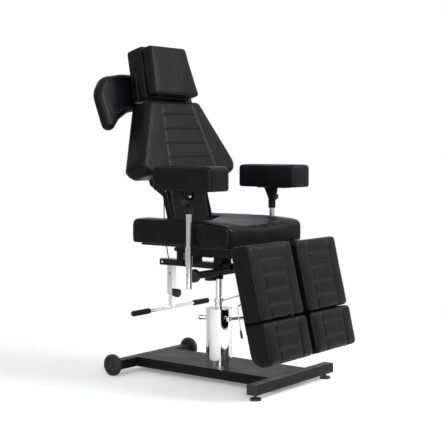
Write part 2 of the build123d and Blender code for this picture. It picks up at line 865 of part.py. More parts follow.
def on_plane(plane, up, out):
    """The y and z of a point that lies up the pad and out from its plane."""
    spot = plane.from_local_coords(Vector(0, up, out))
    return (spot.Y, spot.Z)


lumbar_plane = leaning(lumbar_y, lumbar_z, lumbar_lean_angle)
bar_centre = [
    (hinge_y, hinge_z),
    (hinge_y + back_bar_width, lumbar_z + lumbar_bolt_up - 2 * back_bar_width),
    (hinge_y + back_bar_bend, hinge_z + back_bar_rise),
    on_plane(back_plane, back_low, -board_back - back_bar_width / 2),
    on_plane(back_plane, back_top / 2, -board_back - back_bar_width / 2),
]
crank_end = (hinge_y + crank_length * sin(radians(crank_angle)), hinge_z - crank_length * cos(radians(crank_angle)))
with BuildPart() as back_frame:
    with Locations(Location((0, hinge_y, hinge_z), (0, 90, 0))):
        Cylinder(hinge_tube_radius, 2 * (back_bar_x + back_bar_half))
    for side in sides.values():
        with BuildSketch(Plane.YZ.offset(side * (back_bar_x - back_bar_half))):
            with BuildLine() as centre_line:
                Polyline(*bar_centre)
            trace(line_width=back_bar_width)
            with Locations(bar_centre[0]):
                Circle(back_bar_width / 2 + bar_edge)
        extrude(amount=side * 2 * back_bar_half)
    for side in sides.values():
        with BuildSketch(Plane.YZ.offset(side * crank_half)):
            with BuildLine():
                Polyline((hinge_y, hinge_z), crank_end)
            trace(line_width=2 * crank_radius)
            with Locations(crank_end):
                Circle(crank_radius)
        extrude(amount=side * crank_plate)
    with BuildSketch(Plane.YZ.offset(-crank_half - crank_plate / 2)):
        with Locations(crank_end):
            Circle(crank_pin_radius)
    extrude(amount=2 * crank_half + crank_plate)
    add(box(-back_bar_x, back_bar_x, bar_centre[4][0] - back_bar_half, bar_centre[4][0] + back_bar_half,
            bar_centre[4][1] - 2 * back_bar_width, bar_centre[4][1] - back_bar_width))
    for side in sides.values():
        with BuildSketch(Plane.YZ.offset(side * lumbar_half)):
            with Locations(on_plane(lumbar_plane, lumbar_bolt_up, -lumbar_thickness / 2)):
                Circle(lumbar_bolt_radius)
        extrude(amount=side * (back_bar_x - lumbar_half))
    with Locations(Location((0, hinge_y, hinge_z), (0, 90, 0))):
        Cylinder(hinge_rod_radius + running, 2 * hinge_half, mode=Mode.SUBTRACT)
save(back_frame.part, "back_frame")

lumbar_outline = [(-lumbar_half, 0), (lumbar_half, 0), (lumbar_half, lumbar_height), (-lumbar_half, lumbar_height)]
lumbar = soft_pad(lumbar_plane, lumbar_outline, -lumbar_thickness, lumbar_thickness, lumbar_corner,
                  lumbar_thickness / 4, 0)
save(lumbar, "lumbar_pad")

# Back board and cushion
back_outline = [
    (-back_low_half, back_low),
    (back_low_half, back_low),
    (back_wide_half, back_wide),
    (back_top_half, back_top),
    (-back_top_half, back_top),
    (-back_wide_half, back_wide),
]
with BuildPart() as back_board:
    with BuildSketch(back_plane.offset(-board_back)):
        with BuildLine():
            FilletPolyline(*inset(back_outline, back_board_inset), radius=back_corner / 2, close=True)
        make_face()
    extrude(amount=back_board_thickness)
save(back_board.part, "back_board")

head_plane = leaning(head_y, head_z, head_lean_angle)
post_low = head_plane.from_local_coords(Vector(0, head_post_low - head_post_end, -head_post_back))
post_high = head_plane.from_local_coords(Vector(0, rear_pad_low, -head_post_back))


def seam_at(up):
    """Half the width between the two long seams of the back at a height up the pad."""
    share = (up - back_low) / (back_top - back_low)
    return back_seam_low + (back_seam_top - back_seam_low) * share


back_block = soft_pad(back_plane, back_outline, -back_thickness, back_thickness, back_corner, back_crown, back_tuck)
with BuildPart() as back:
    add(back_block)
    for side in sides.values():
        add(groove(back_plane, (side * seam_at(back_low), back_low), (side * seam_at(back_top), back_top), 0),
            mode=Mode.SUBTRACT)
    for up in back_channels:
        add(groove(back_plane, (-seam_at(up), up), (seam_at(up), up), 0), mode=Mode.SUBTRACT)
    for side in sides.values():
        shift = Vector(side * head_post_x, 0, 0)
        add(rod(tuple(post_low + shift), tuple(post_high + shift), head_post_radius + running),
            mode=Mode.SUBTRACT)
save(back.part, "back_cushion")

# Gas spring under the seat: the rod's slotted eye takes the crank's pin
eye_y = crank_end[0]
crank_bottom = hinge_z - crank_length
gas_z = (crank_bottom + crank_end[1]) / 2
eye_reach = (crank_end[1] - crank_bottom) / 2 + eye_end_play
slot_width = 2 * (crank_pin_radius + eye_side_play)
with BuildPart() as gas:
    add(rod((0, gas_front, gas_z), (0, gas_rear, gas_z), gas_radius))
    fillet(gas.edges().filter_by(GeomType.CIRCLE), radius=gas_radius / 5)
    add(box(-gas_foot_half, gas_foot_half, gas_front, gas_front + gas_foot, rail_top, gas_z))
    add(rod((0, gas_rear - gas_foot, gas_z), (0, gas_rear + overrun, gas_z), gas_rod_radius + running),
        mode=Mode.SUBTRACT)
    add(rod((0, gas_front + gas_foot, gas_z), (0, gas_rear, gas_z), gas_rod_radius + running), mode=Mode.SUBTRACT)
save(gas.part, "gas_spring")

eye_front = eye_y - slot_width / 2 - eye_radius
with BuildPart() as gas_rod:
    add(rod((0, gas_rod_in, gas_z), (0, eye_front + eye_radius / 2, gas_z), gas_rod_radius))
    with BuildSketch(Plane.YZ.offset(-eye_half)):
        with Locations((eye_y, gas_z)):
            Rectangle(slot_width + 2 * eye_radius, 2 * (eye_reach + slot_width / 2 + eye_radius / 2))
            SlotOverall(2 * eye_reach + slot_width, slot_width, rotation=90, mode=Mode.SUBTRACT)
    extrude(amount=2 * eye_half)
save(gas_rod.part, "gas_rod")

# Head rest: posts, rear pad and front pad
with BuildPart() as posts:
    for side in sides.values():
        low = head_plane.from_local_coords(Vector(side * head_post_x, head_post_low, -head_post_back))
        high = head_plane.from_local_coords(Vector(side * head_post_x, head_post_high, -head_post_back))
        add(rod(tuple(low), tuple(high), head_post_radius))
save(posts.part, "head_posts")


def head_outline(low, high):
    """The head rest's tapered outline between two heights, anticlockwise."""
    slope = (head_top_half - head_low_half) / head_height
    low_half = head_low_half + slope * low
    high_half = head_low_half + slope * high
    return [(-low_half, low), (low_half, low), (high_half, high), (-high_half, high)]


rear_pad_front = front_pad_thickness + head_gap
rear_block = soft_pad(head_plane, head_outline(rear_pad_low, rear_pad_high), -rear_pad_front - rear_pad_thickness,
                      rear_pad_thickness, head_corner, head_corner / 2, head_corner / 4)
with BuildPart() as rear_pad:
    add(rear_block)
    for side in sides.values():
        low = head_plane.from_local_coords(Vector(side * head_post_x, rear_pad_low - overrun, -head_post_back))
        high = head_plane.from_local_coords(Vector(side * head_post_x, head_post_high, -head_post_back))
        add(rod(tuple(low), tuple(high), head_post_radius), mode=Mode.SUBTRACT)
save(rear_pad.part, "headrest_rear_pad")

front_pad = soft_pad(head_plane, head_outline(0, head_height), -front_pad_thickness, front_pad_thickness,
                     head_corner, head_corner, head_corner / 4)
save(front_pad, "headrest_front_pad")

# Wing pad on its hinge behind the head rest
wing_outline = [
    (-wing_notch_x, wing_notch),
    (0, wing_mid),
    (wing_notch_x, wing_notch),
    (wing_lobe_x - wing_lobe_half, wing_lobe_low + wing_lobe_half / 2),
    (wing_lobe_x, wing_lobe_low),
    (wing_lobe_x + wing_lobe_half / 2, wing_lobe_low + wing_lobe_half / 3),
    (wing_half, wing_shoulder),
    (wing_half - wing_shoulder, wing_high - wing_shoulder / 3),
    (wing_notch_x, wing_high),
    (-wing_notch_x, wing_high),
    (-wing_half + wing_shoulder, wing_high - wing_shoulder / 3),
    (-wing_half, wing_shoulder),
    (-wing_lobe_x - wing_lobe_half / 2, wing_lobe_low + wing_lobe_half / 3),
    (-wing_lobe_x, wing_lobe_low),
    (-wing_lobe_x + wing_lobe_half, wing_lobe_low + wing_lobe_half / 2),
]
wing_layers_share = ((0.0, 0.9), (0.12, 0.35), (0.3, 0.0), (0.7, 0.0), (0.88, 0.35), (1.0, 1.0))
with BuildPart() as wing:
    for height, crowned in wing_layers_share:
        with BuildSketch(head_plane.offset(-wing_front - wing_thickness + wing_thickness * height)):
            with BuildLine():
                Polyline(*inset(wing_outline, wing_crown * crowned), close=True)
            make_face()
    loft(ruled=True)
save(wing.part, "wing_pad")

rear_pad_back = rear_pad_front + rear_pad_thickness
pin_out = (rear_pad_back + wing_front) / 2
with BuildPart() as hinge_leaf:
    with BuildSketch(head_plane.offset(-rear_pad_back)):
        with Locations((0, (wing_hinge_up + wing_plate_low) / 2)):
            Rectangle(2 * wing_knuckle_half, wing_hinge_up - wing_plate_low)
    extrude(amount=-wing_pin_radius)
    for half, radius in ((wing_knuckle_half, wing_knuckle_radius), (wing_knuckle_half + 2 * wing_ear, wing_pin_radius)):
        pin_low = head_plane.from_local_coords(Vector(-half, wing_hinge_up, -pin_out))
        pin_high = head_plane.from_local_coords(Vector(half, wing_hinge_up, -pin_out))
        add(rod(tuple(pin_low), tuple(pin_high), radius))
save(hinge_leaf.part, "wing_hinge")

# The wing's own leaf: a strip across the pad and two ears that turn on the pin
wing_side = Plane(origin=head_plane.origin, x_dir=head_plane.y_dir, z_dir=(1, 0, 0))
with BuildPart() as wing_leaf:
    for side in sides.values():
        with BuildSketch(wing_side.offset(side * (wing_knuckle_half + wing_ear_gap))):
            with Locations((wing_hinge_up, -pin_out)):
                Circle(wing_knuckle_radius)
            with Locations(((wing_hinge_up + wing_strip_low) / 2, -(pin_out + wing_front) / 2)):
                Rectangle(wing_hinge_up - wing_strip_low, wing_front - pin_out)
            with Locations((wing_hinge_up, -pin_out)):
                Circle(wing_pin_radius + running, mode=Mode.SUBTRACT)
        extrude(amount=side * wing_ear)
    with BuildSketch(head_plane.offset(-wing_front)):
        with Locations((0, (wing_strip_low + wing_strip_high) / 2)):
            Rectangle(2 * (wing_knuckle_half + wing_ear), wing_strip_high - wing_strip_low)
    extrude(amount=wing_strip)
save(wing_leaf.part, "wing_leaf")

# Recline release cable, from the rear of the rail up to the back board
with BuildPart() as cable:
    with BuildLine(Plane.YZ) as cable_line:
        turns = []
        for i in range(1, len(cable_route) - 1):
            a, b, c = (Vector(*cable_route[i + k]) for k in (-1, 0, 1))
            turn = radians((b - a).get_angle(c - b))
            turns.append(cable_bend_share * min((b - a).length, (c - b).length) / tan(turn / 2))
        FilletPolyline(*cable_route, radius=turns)
    with BuildSketch(Plane(origin=cable_line.line @ 0, z_dir=cable_line.line % 0)):
        Circle(cable_radius)
    sweep()
save(cable.part, "recline_cable")

# T-bar behind the column
tee_post_top = rail_low - tee_up - running
with BuildPart() as tee:
    add(box(-tee_post_half, tee_post_half, tee_y - tee_post_half, tee_y + tee_post_half, tee_bar_z, tee_post_top))
    add(rod((-tee_bar_half, tee_y, tee_bar_z), (tee_bar_half, tee_y, tee_bar_z), tee_bar_radius))
save(tee.part, "tee_bar")

with BuildPart() as grips:
    for side in sides.values():
        add(rod((side * tee_bar_half, tee_y, tee_bar_z), (side * (tee_bar_half - tee_grip_length), tee_y, tee_bar_z),
                tee_grip_radius))
        add(rod((side * tee_bar_half, tee_y, tee_bar_z), (side * (tee_bar_half + bar_edge), tee_y, tee_bar_z),
                tee_grip_radius - bar_edge / 2))
    add(rod((-tee_bar_half, tee_y, tee_bar_z), (tee_bar_half, tee_y, tee_bar_z), tee_bar_radius), mode=Mode.SUBTRACT)
save(grips.part, "tee_grips")

knob_face = tee_y - tee_sleeve_half - tee_stud
with BuildPart() as tee_knob:
    add(rod((0, tee_y - tee_post_half - 2 * running, tee_knob_z), (0, knob_face, tee_knob_z), tee_stud_radius))
    with BuildSketch(Plane.XZ.offset(-knob_face)):
        with Locations((0, tee_knob_z)):
            Circle(tee_knob_radius)
            with PolarLocations(tee_knob_radius + grip_scoop / 2, knob_scoops):
                Circle(grip_scoop, mode=Mode.SUBTRACT)
    extrude(amount=tee_knob_length)
save(tee_knob.part, "tee_knob")

# Arm rests: a sleeve, post, head, bracket, pad and knob each side
arm_head_low = arm_post_high - arm_head_grip
arm_head_high = arm_post_high + arm_head_cap
arm_pivot_z = arm_post_high + arm_pivot_rise
cheek_plate_z = arm_post_high + cheek_rise
with BuildPart() as sleeves:
    with BuildSketch(Plane.XY.offset(arm_sleeve_low)):
        with Locations((-arm_x, arm_y), (arm_x, arm_y)):
            Circle(arm_sleeve_radius)
            Circle(arm_post_radius + running, mode=Mode.SUBTRACT)
    extrude(amount=arm_sleeve_high - arm_sleeve_low)
save(sleeves.part, "arm_sleeves")

for word, side in sides.items():
    x = side * arm_x
    with BuildPart() as post:
        with BuildSketch(Plane.XY.offset(arm_post_low)):
            with Locations((x, arm_y)):
                Circle(arm_post_radius)
        extrude(amount=arm_post_high - arm_post_low)
        for step in (0, 1):
            with Locations(Location((x, arm_y, arm_hole_z - 2 * step * arm_head_radius), (0, 90, 0))):
                Cylinder(arm_hole_radius, 3 * arm_post_radius, mode=Mode.SUBTRACT)
    save(post.part, f"{word}_arm_post")

    with BuildPart() as arm_head:
        with BuildSketch(Plane.XY.offset(arm_head_low)):
            with Locations((x, arm_y)):
                Circle(arm_head_radius)
        extrude(amount=arm_head_high - arm_head_low)
        with BuildSketch(Plane.YZ.offset(x - arm_ear_half)):
            with Locations((arm_y, arm_pivot_z)):
                Circle(arm_ear_radius)
            with Locations((arm_y, (arm_pivot_z + arm_head_high - bar_edge) / 2)):
                Rectangle(2 * arm_ear_radius, arm_pivot_z - arm_head_high + bar_edge)
        extrude(amount=2 * arm_ear_half)
        with BuildSketch(Plane.XY.offset(arm_head_low)):
            with Locations((x, arm_y)):
                Circle(arm_post_radius + running)
        extrude(amount=arm_post_high - arm_head_low + running, mode=Mode.SUBTRACT)
        with Locations(Location((x, arm_y, arm_pivot_z), (0, 90, 0))):
            Cylinder(arm_pivot_radius + running, 3 * arm_ear_half, mode=Mode.SUBTRACT)
    save(arm_head.part, f"{word}_arm_head")

    outer = x + side * (cheek_gap + cheek_plate)
    board_y = (arm_pad_front + arm_pad_rear) / 2
    with BuildPart() as cheeks:
        for face in (-1, 1):
            with BuildSketch(Plane.YZ.offset(x + face * cheek_gap)):
                with BuildLine():
                    Polyline(
                        (arm_y - arm_ear_radius, arm_pivot_z),
                        (arm_y, arm_pivot_z - arm_ear_radius),
                        (arm_y + arm_ear_radius, arm_pivot_z),
                        (arm_y + arm_head_radius + cheek_rear_y, cheek_plate_z),
                        (arm_y - arm_ear_radius - cheek_rear_y / 2, cheek_plate_z),
                        close=True,
                    )
                make_face()
                with Locations((arm_y, arm_pivot_z)):
                    Circle(arm_ear_radius)
            extrude(amount=face * cheek_plate)
        with BuildSketch(Plane.XY.offset(cheek_plate_z)):
            with Locations((x, board_y)):
                RectangleRounded(2 * arm_board_half, arm_board_length, arm_board_corner)
        extrude(amount=arm_board_thickness)
        add(rod((x - cheek_gap - cheek_plate, arm_y, arm_pivot_z), (x + cheek_gap + cheek_plate, arm_y, arm_pivot_z),
                arm_pivot_radius))
    save(cheeks.part, f"{word}_arm_bracket")

    arm_outline = [
        (x - arm_pad_half, arm_pad_front),
        (x + arm_pad_half, arm_pad_front),
        (x + arm_pad_half, arm_pad_rear),
        (x - arm_pad_half, arm_pad_rear),
    ]
    pad_low = cheek_plate_z + arm_board_thickness
    arm_pad = soft_pad(seat_plane, arm_outline, pad_low, arm_pad_thickness, arm_pad_corner, arm_pad_crown,
                       arm_pad_tuck)
    save(arm_pad, f"{word}_arm_cushion")

    with BuildPart() as arm_knob:
        with BuildSketch(Plane.YZ.offset(outer + side * running)):
            with Locations((arm_y, arm_pivot_z)):
                Circle(arm_knob_radius)
                with PolarLocations(arm_knob_radius + grip_scoop / 2, knob_scoops):
                    Circle(grip_scoop, mode=Mode.SUBTRACT)
        extrude(amount=side * arm_knob_length)
    save(arm_knob.part, f"{word}_arm_knob")

# Leg rests: one axle, and for each leg a hinge arm, a pad with rod guides and a foot pad on rods
with BuildPart() as leg_axle:
    add(rod((-leg_axle_half, leg_y, leg_z), (leg_axle_half, leg_y, leg_z), leg_axle_radius))
save(leg_axle.part, "leg_axle")

arm_high = 0
arm_low = -splay_down - splay_disc_radius
pin_top = leg_rear - splay_disc
for word, side in sides.items():
    with BuildPart() as leg_arm:
        add(rod((side * leg_tube_in, leg_y, leg_z), (side * leg_tube_out, leg_y, leg_z), leg_tube_radius))
        for across in (leg_tube_in + leg_arm_half, leg_tube_out - leg_arm_half):
            with BuildSketch(leg_plane):
                with Locations((side * across, (arm_high + arm_low) / 2)):
                    Rectangle(2 * leg_arm_half, arm_high - arm_low)
            extrude(amount=pin_top)
        with BuildSketch(leg_plane.offset(pin_top - leg_arm_plate)):
            with Locations((side * (leg_tube_in + splay_in + splay_disc_radius) / 2, -splay_down)):
                Rectangle(splay_in + splay_disc_radius - leg_tube_in, 2 * splay_disc_radius)
            with Locations((side * splay_in, -splay_down)):
                Circle(splay_pin_radius + running, mode=Mode.SUBTRACT)
        extrude(amount=leg_arm_plate)
        with Locations(Location((side * leg_tube_out, leg_y, leg_z), (0, 90, 0))):
            Cylinder(leg_axle_radius + running, 3 * leg_tube_out, mode=Mode.SUBTRACT)
    save(leg_arm.part, f"{word}_leg_arm")

    leg_low = leg_top - leg_length
    inner, outer = side * leg_inner, side * leg_outer
    x_low, x_high = min(inner, outer), max(inner, outer)
    leg_outline = [(x_low, leg_low), (x_high, leg_low), (x_high, leg_top), (x_low, leg_top)]
    guide_x = [side * (leg_inner + leg_outer) / 2 - foot_rod_half, side * (leg_inner + leg_outer) / 2 + foot_rod_half]
    width = x_high - x_low
    front = leg_rear + leg_thickness
    leg_block = soft_pad(leg_plane, leg_outline, leg_rear, leg_thickness, leg_corner, leg_crown, leg_tuck)
    with BuildPart() as leg_pad:
        add(leg_block)
        for share in leg_seams_share:
            at = x_low + width * share
            add(groove(leg_plane, (at, leg_low), (at, leg_top), front), mode=Mode.SUBTRACT)
        for share in leg_channels_share:
            at = leg_low + leg_length * share
            add(groove(leg_plane, (x_low + width * leg_seams_share[0], at), (x_low + width * leg_seams_share[1], at),
                       front), mode=Mode.SUBTRACT)
    save(leg_pad.part, f"{word}_leg_cushion")

    with BuildPart() as guides:
        for at in guide_x:
            with BuildSketch(leg_plane.offset(foot_rod_back - foot_guide_radius)):
                with Locations((at, -(foot_guide_high + foot_guide_low) / 2)):
                    Rectangle(2 * foot_guide_radius, foot_guide_low - foot_guide_high)
            extrude(amount=leg_rear - foot_rod_back + foot_guide_radius)
            with Locations(leg_plane.location * Pos(at, -(foot_guide_high + foot_guide_low) / 2, foot_rod_back)
                           * Rot(90, 0, 0)):
                Cylinder(foot_rod_radius + running, 2 * (foot_guide_low - foot_guide_high), mode=Mode.SUBTRACT)
        with BuildSketch(leg_plane.offset(leg_rear)):
            with Locations((side * splay_in, -splay_down)):
                Circle(splay_disc_radius)
        extrude(amount=-splay_disc + running)
        with BuildSketch(leg_plane.offset(leg_rear)):
            with Locations((side * splay_in, -splay_down)):
                Circle(splay_pin_radius)
        extrude(amount=-splay_disc - leg_arm_plate - splay_disc)
        with BuildSketch(leg_plane.offset(pin_top - leg_arm_plate - running)):
            with Locations((side * splay_in, -splay_down)):
                Circle(splay_pin_radius + bar_edge)
        extrude(amount=-splay_disc)
    save(guides.part, f"{word}_leg_guides")

    with BuildPart() as foot_rods:
        for at in guide_x:
            high = leg_plane.from_local_coords(Vector(at, -foot_rod_high, foot_rod_back))
            low = leg_plane.from_local_coords(Vector(at, -foot_rod_low, foot_rod_back))
            add(rod(tuple(high), tuple(low), foot_rod_radius))
            with BuildSketch(leg_plane.offset(foot_rod_back)):
                with Locations((at, -foot_rod_low + foot_guide_radius)):
                    Rectangle(2 * foot_guide_radius, 3 * foot_guide_radius)
            extrude(amount=leg_rear - foot_rod_back)
    save(foot_rods.part, f"{word}_foot_rods")

    foot_outline = [(x_low, -foot_pad_low), (x_high, -foot_pad_low), (x_high, -foot_pad_high), (x_low, -foot_pad_high)]
    foot_front = leg_rear + foot_pad_thickness
    profile_plane = Plane(origin=leg_plane.from_local_coords(Vector(x_low - overrun, 0, 0)), x_dir=leg_plane.z_dir,
                          z_dir=(1, 0, 0))
    foot_block = soft_pad(leg_plane, foot_outline, leg_rear, foot_pad_thickness, leg_corner, leg_crown, leg_tuck)
    with BuildPart() as foot_pad:
        add(foot_block)
        with BuildSketch(profile_plane):
            with BuildLine():
                down = profile_plane.to_local_coords(leg_plane.from_local_coords(Vector(x_low - overrun, -1, 0))).Y
                FilletPolyline(
                    (leg_rear, down * foot_pad_high),
                    (foot_front, down * foot_pad_high),
                    (foot_front, down * foot_pad_low),
                    (leg_rear, down * foot_pad_low),
                    radius=[bar_edge, bar_edge, foot_pad_nose, foot_pad_curve],
                    close=True,
                )
            make_face()
        extrude(amount=width + 2 * overrun, mode=Mode.INTERSECT)
        for share in leg_seams_share:
            at = x_low + width * share
            add(groove(leg_plane, (at, -foot_pad_low), (at, -foot_pad_high), foot_front), mode=Mode.SUBTRACT)
        for share in foot_channels_share:
            at = -foot_pad_high - (foot_pad_low - foot_pad_high) * share
            add(groove(leg_plane, (x_low + width * leg_seams_share[0], at), (x_low + width * leg_seams_share[1], at),
                       foot_front), mode=Mode.SUBTRACT)
    save(foot_pad.part, f"{word}_foot_cushion")
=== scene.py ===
import math

import bpy
import numpy as np
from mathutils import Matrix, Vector
from mathutils.bvhtree import BVHTree
from mathutils.kdtree import KDTree


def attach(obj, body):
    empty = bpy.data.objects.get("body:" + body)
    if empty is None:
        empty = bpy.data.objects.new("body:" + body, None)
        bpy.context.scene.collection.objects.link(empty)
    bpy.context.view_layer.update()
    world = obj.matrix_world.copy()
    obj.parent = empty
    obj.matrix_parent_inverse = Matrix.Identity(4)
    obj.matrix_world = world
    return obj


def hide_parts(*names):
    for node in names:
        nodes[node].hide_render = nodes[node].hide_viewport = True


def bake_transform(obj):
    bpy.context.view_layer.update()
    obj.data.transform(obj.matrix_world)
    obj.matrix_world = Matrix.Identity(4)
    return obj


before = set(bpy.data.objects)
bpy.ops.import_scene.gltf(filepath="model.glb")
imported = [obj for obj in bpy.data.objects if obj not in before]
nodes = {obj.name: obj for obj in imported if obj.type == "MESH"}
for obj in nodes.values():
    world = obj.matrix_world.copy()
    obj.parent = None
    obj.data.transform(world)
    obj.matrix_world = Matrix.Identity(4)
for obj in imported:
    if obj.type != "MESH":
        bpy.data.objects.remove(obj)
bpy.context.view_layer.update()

# Camera and studio. The chair is seen from its right front, a little above seat height, through a long lens.
# It stands on a white floor that runs into a white wall, under a broad lamp over the front, a weaker one at
# its right, and a tall narrow one ahead of its right side that draws light lines along the pads' edges.
lens_length = 87.7
film_width = 36.0
camera_place = (-3.9030, -2.9879, 1.0582)
camera_dip = 3.98
camera_turn = -52.57
camera_data = bpy.data.cameras.new("camera")
camera_data.lens = lens_length
camera_data.sensor_width = film_width
camera = bpy.data.objects.new("camera", camera_data)
camera.location = camera_place
camera.rotation_euler = (math.radians(90.0 - camera_dip), 0.0, math.radians(camera_turn))
bpy.context.scene.collection.objects.link(camera)
bpy.context.scene.camera = camera
bpy.context.scene.view_settings.view_transform = "Standard"

sky_up = (0.30, -0.26, 0.92)
sky_dim = 0.34
sky_bright = 0.70
mirrored_lift = 0.34
world = bpy.data.worlds.new("studio_white")
bpy.context.scene.world = world
world.use_nodes = True
sky = world.node_tree
sky.nodes.clear()
sky_out = sky.nodes.new("ShaderNodeOutputWorld")
sky_soft = sky.nodes.new("ShaderNodeBackground")
sky_soft.inputs["Color"].default_value = (0.96, 0.98, 1.0, 1.0)
sky_seen = sky.nodes.new("ShaderNodeBackground")
sky_seen.inputs["Color"].default_value = (1.0, 1.0, 1.0, 1.0)
sky_seen.inputs["Strength"].default_value = 1.0
sky_path = sky.nodes.new("ShaderNodeLightPath")
sky_mix = sky.nodes.new("ShaderNodeMixShader")
sky_way = sky.nodes.new("ShaderNodeTexCoord")
sky_side = sky.nodes.new("ShaderNodeVectorMath")
sky_side.operation = "DOT_PRODUCT"
sky_side.inputs[1].default_value = sky_up
sky_range = sky.nodes.new("ShaderNodeMapRange")
sky_range.interpolation_type = "SMOOTHSTEP"
sky_range.inputs["From Min"].default_value = 0.15
sky_range.inputs["From Max"].default_value = 0.75
sky_range.inputs["To Min"].default_value = sky_dim
sky_range.inputs["To Max"].default_value = sky_bright
sky_gloss = sky.nodes.new("ShaderNodeMath")
sky_gloss.operation = "MULTIPLY_ADD"
sky_gloss.inputs[1].default_value = mirrored_lift
sky.links.new(sky_way.outputs["Generated"], sky_side.inputs[0])
sky.links.new(sky_side.outputs["Value"], sky_range.inputs["Value"])
sky.links.new(sky_path.outputs["Is Glossy Ray"], sky_gloss.inputs[0])
sky.links.new(sky_range.outputs[0], sky_gloss.inputs[2])
sky.links.new(sky_gloss.outputs[0], sky_soft.inputs["Strength"])
sky.links.new(sky_path.outputs["Is Camera Ray"], sky_mix.inputs[0])
sky.links.new(sky_soft.outputs[0], sky_mix.inputs[1])
sky.links.new(sky_seen.outputs[0], sky_mix.inputs[2])
sky.links.new(sky_mix.outputs[0], sky_out.inputs["Surface"])


def softbox(name, power, place, aim, width, height):
    """A rectangular lamp at a place, turned so that its face looks at the aim point."""
    lamp_data = bpy.data.lights.new(name, "AREA")
    lamp_data.shape = "RECTANGLE"
    lamp_data.size = width
    lamp_data.size_y = height
    lamp_data.energy = power
    lamp = bpy.data.objects.new(name, lamp_data)
    lamp.location = place
    lamp.rotation_euler = (Vector(aim) - Vector(place)).to_track_quat("-Z", "Y").to_euler()
    bpy.context.scene.collection.objects.link(lamp)


softbox("key_softbox", power=165.0, place=(1.2, -2.9, 3.0), aim=(0.0, 0.0, 0.7), width=2.2, height=2.2)
softbox("side_softbox", power=34.0, place=(-3.4, 0.3, 2.4), aim=(0.0, 0.0, 0.8), width=1.6, height=2.4)
softbox("edge_softbox", power=100.0, place=(-3.3, -3.4, 1.9), aim=(0.0, 0.0, 0.8), width=0.8, height=1.8)

floor_half = 30.0
floor_shade = (0.50, 0.50, 0.50, 1.0)
floor_seen = (0.84, 0.84, 0.84, 1.0)
floor_lift = 0.22
fade_near = 1.1
fade_far = 2.4
floor_data = bpy.data.meshes.new("studio_floor")
floor_corners = [(-floor_half, -floor_half, 0), (floor_half, -floor_half, 0), (floor_half, floor_half, 0),
                 (-floor_half, floor_half, 0)]
floor_data.from_pydata(floor_corners, [], [(0, 1, 2, 3)])
floor = bpy.data.objects.new("studio_floor", floor_data)
bpy.context.scene.collection.objects.link(floor)
floor_paint = bpy.data.materials.new("floor_paint")
floor_paint.use_nodes = True
paint = floor_paint.node_tree
paint.nodes.clear()
paint_out = paint.nodes.new("ShaderNodeOutputMaterial")
paint_matt = paint.nodes.new("ShaderNodeBsdfDiffuse")
paint_tone = paint.nodes.new("ShaderNodeMix")
paint_tone.data_type = "RGBA"
paint_tone.inputs["A"].default_value = floor_shade
paint_tone.inputs["B"].default_value = floor_seen
paint_lift = paint.nodes.new("ShaderNodeEmission")
paint_lift.inputs["Strength"].default_value = floor_lift
paint_none = paint.nodes.new("ShaderNodeEmission")
paint_none.inputs["Strength"].default_value = 0.0
paint_path = paint.nodes.new("ShaderNodeLightPath")
paint_mix = paint.nodes.new("ShaderNodeMixShader")
paint_add = paint.nodes.new("ShaderNodeAddShader")
paint.links.new(paint_path.outputs["Is Camera Ray"], paint_mix.inputs[0])
paint.links.new(paint_none.outputs[0], paint_mix.inputs[1])
paint.links.new(paint_lift.outputs[0], paint_mix.inputs[2])
paint_bright = paint.nodes.new("ShaderNodeMath")
paint_bright.operation = "MAXIMUM"
paint.links.new(paint_path.outputs["Is Camera Ray"], paint_bright.inputs[0])
paint.links.new(paint_path.outputs["Is Glossy Ray"], paint_bright.inputs[1])
paint.links.new(paint_bright.outputs[0], paint_tone.inputs["Factor"])
paint.links.new(paint_tone.outputs["Result"], paint_matt.inputs["Color"])
paint.links.new(paint_matt.outputs[0], paint_add.inputs[0])
paint.links.new(paint_mix.outputs[0], paint_add.inputs[1])
paint_place = paint.nodes.new("ShaderNodeTexCoord")
paint_far = paint.nodes.new("ShaderNodeVectorMath")
paint_far.operation = "LENGTH"
paint_fade = paint.nodes.new("ShaderNodeMapRange")
paint_fade.interpolation_type = "SMOOTHSTEP"
paint_fade.inputs["From Min"].default_value = fade_near
paint_fade.inputs["From Max"].default_value = fade_far
paint_seen = paint.nodes.new("ShaderNodeMath")
paint_seen.operation = "MULTIPLY"
paint_white = paint.nodes.new("ShaderNodeEmission")
paint_white.inputs["Strength"].default_value = 1.0
paint_edge = paint.nodes.new("ShaderNodeMixShader")
paint.links.new(paint_place.outputs["Object"], paint_far.inputs[0])
paint.links.new(paint_far.outputs["Value"], paint_fade.inputs["Value"])
paint.links.new(paint_fade.outputs[0], paint_seen.inputs[0])
paint.links.new(paint_path.outputs["Is Camera Ray"], paint_seen.inputs[1])
paint.links.new(paint_seen.outputs[0], paint_edge.inputs[0])
paint.links.new(paint_add.outputs[0], paint_edge.inputs[1])
paint.links.new(paint_white.outputs[0], paint_edge.inputs[2])
paint.links.new(paint_edge.outputs[0], paint_out.inputs["Surface"])
floor.data.materials.append(floor_paint)

# Base. Two cross bars of rectangular tube and a folded deck plate, welded and powder coated satin black, so
# that the coat shows a fine orange peel. Moulded caps close the bars.


def dress(node, material):
    """Gives a CAD node its one finish."""
    mesh = nodes[node].data
    mesh.materials.clear()
    mesh.materials.append(material)


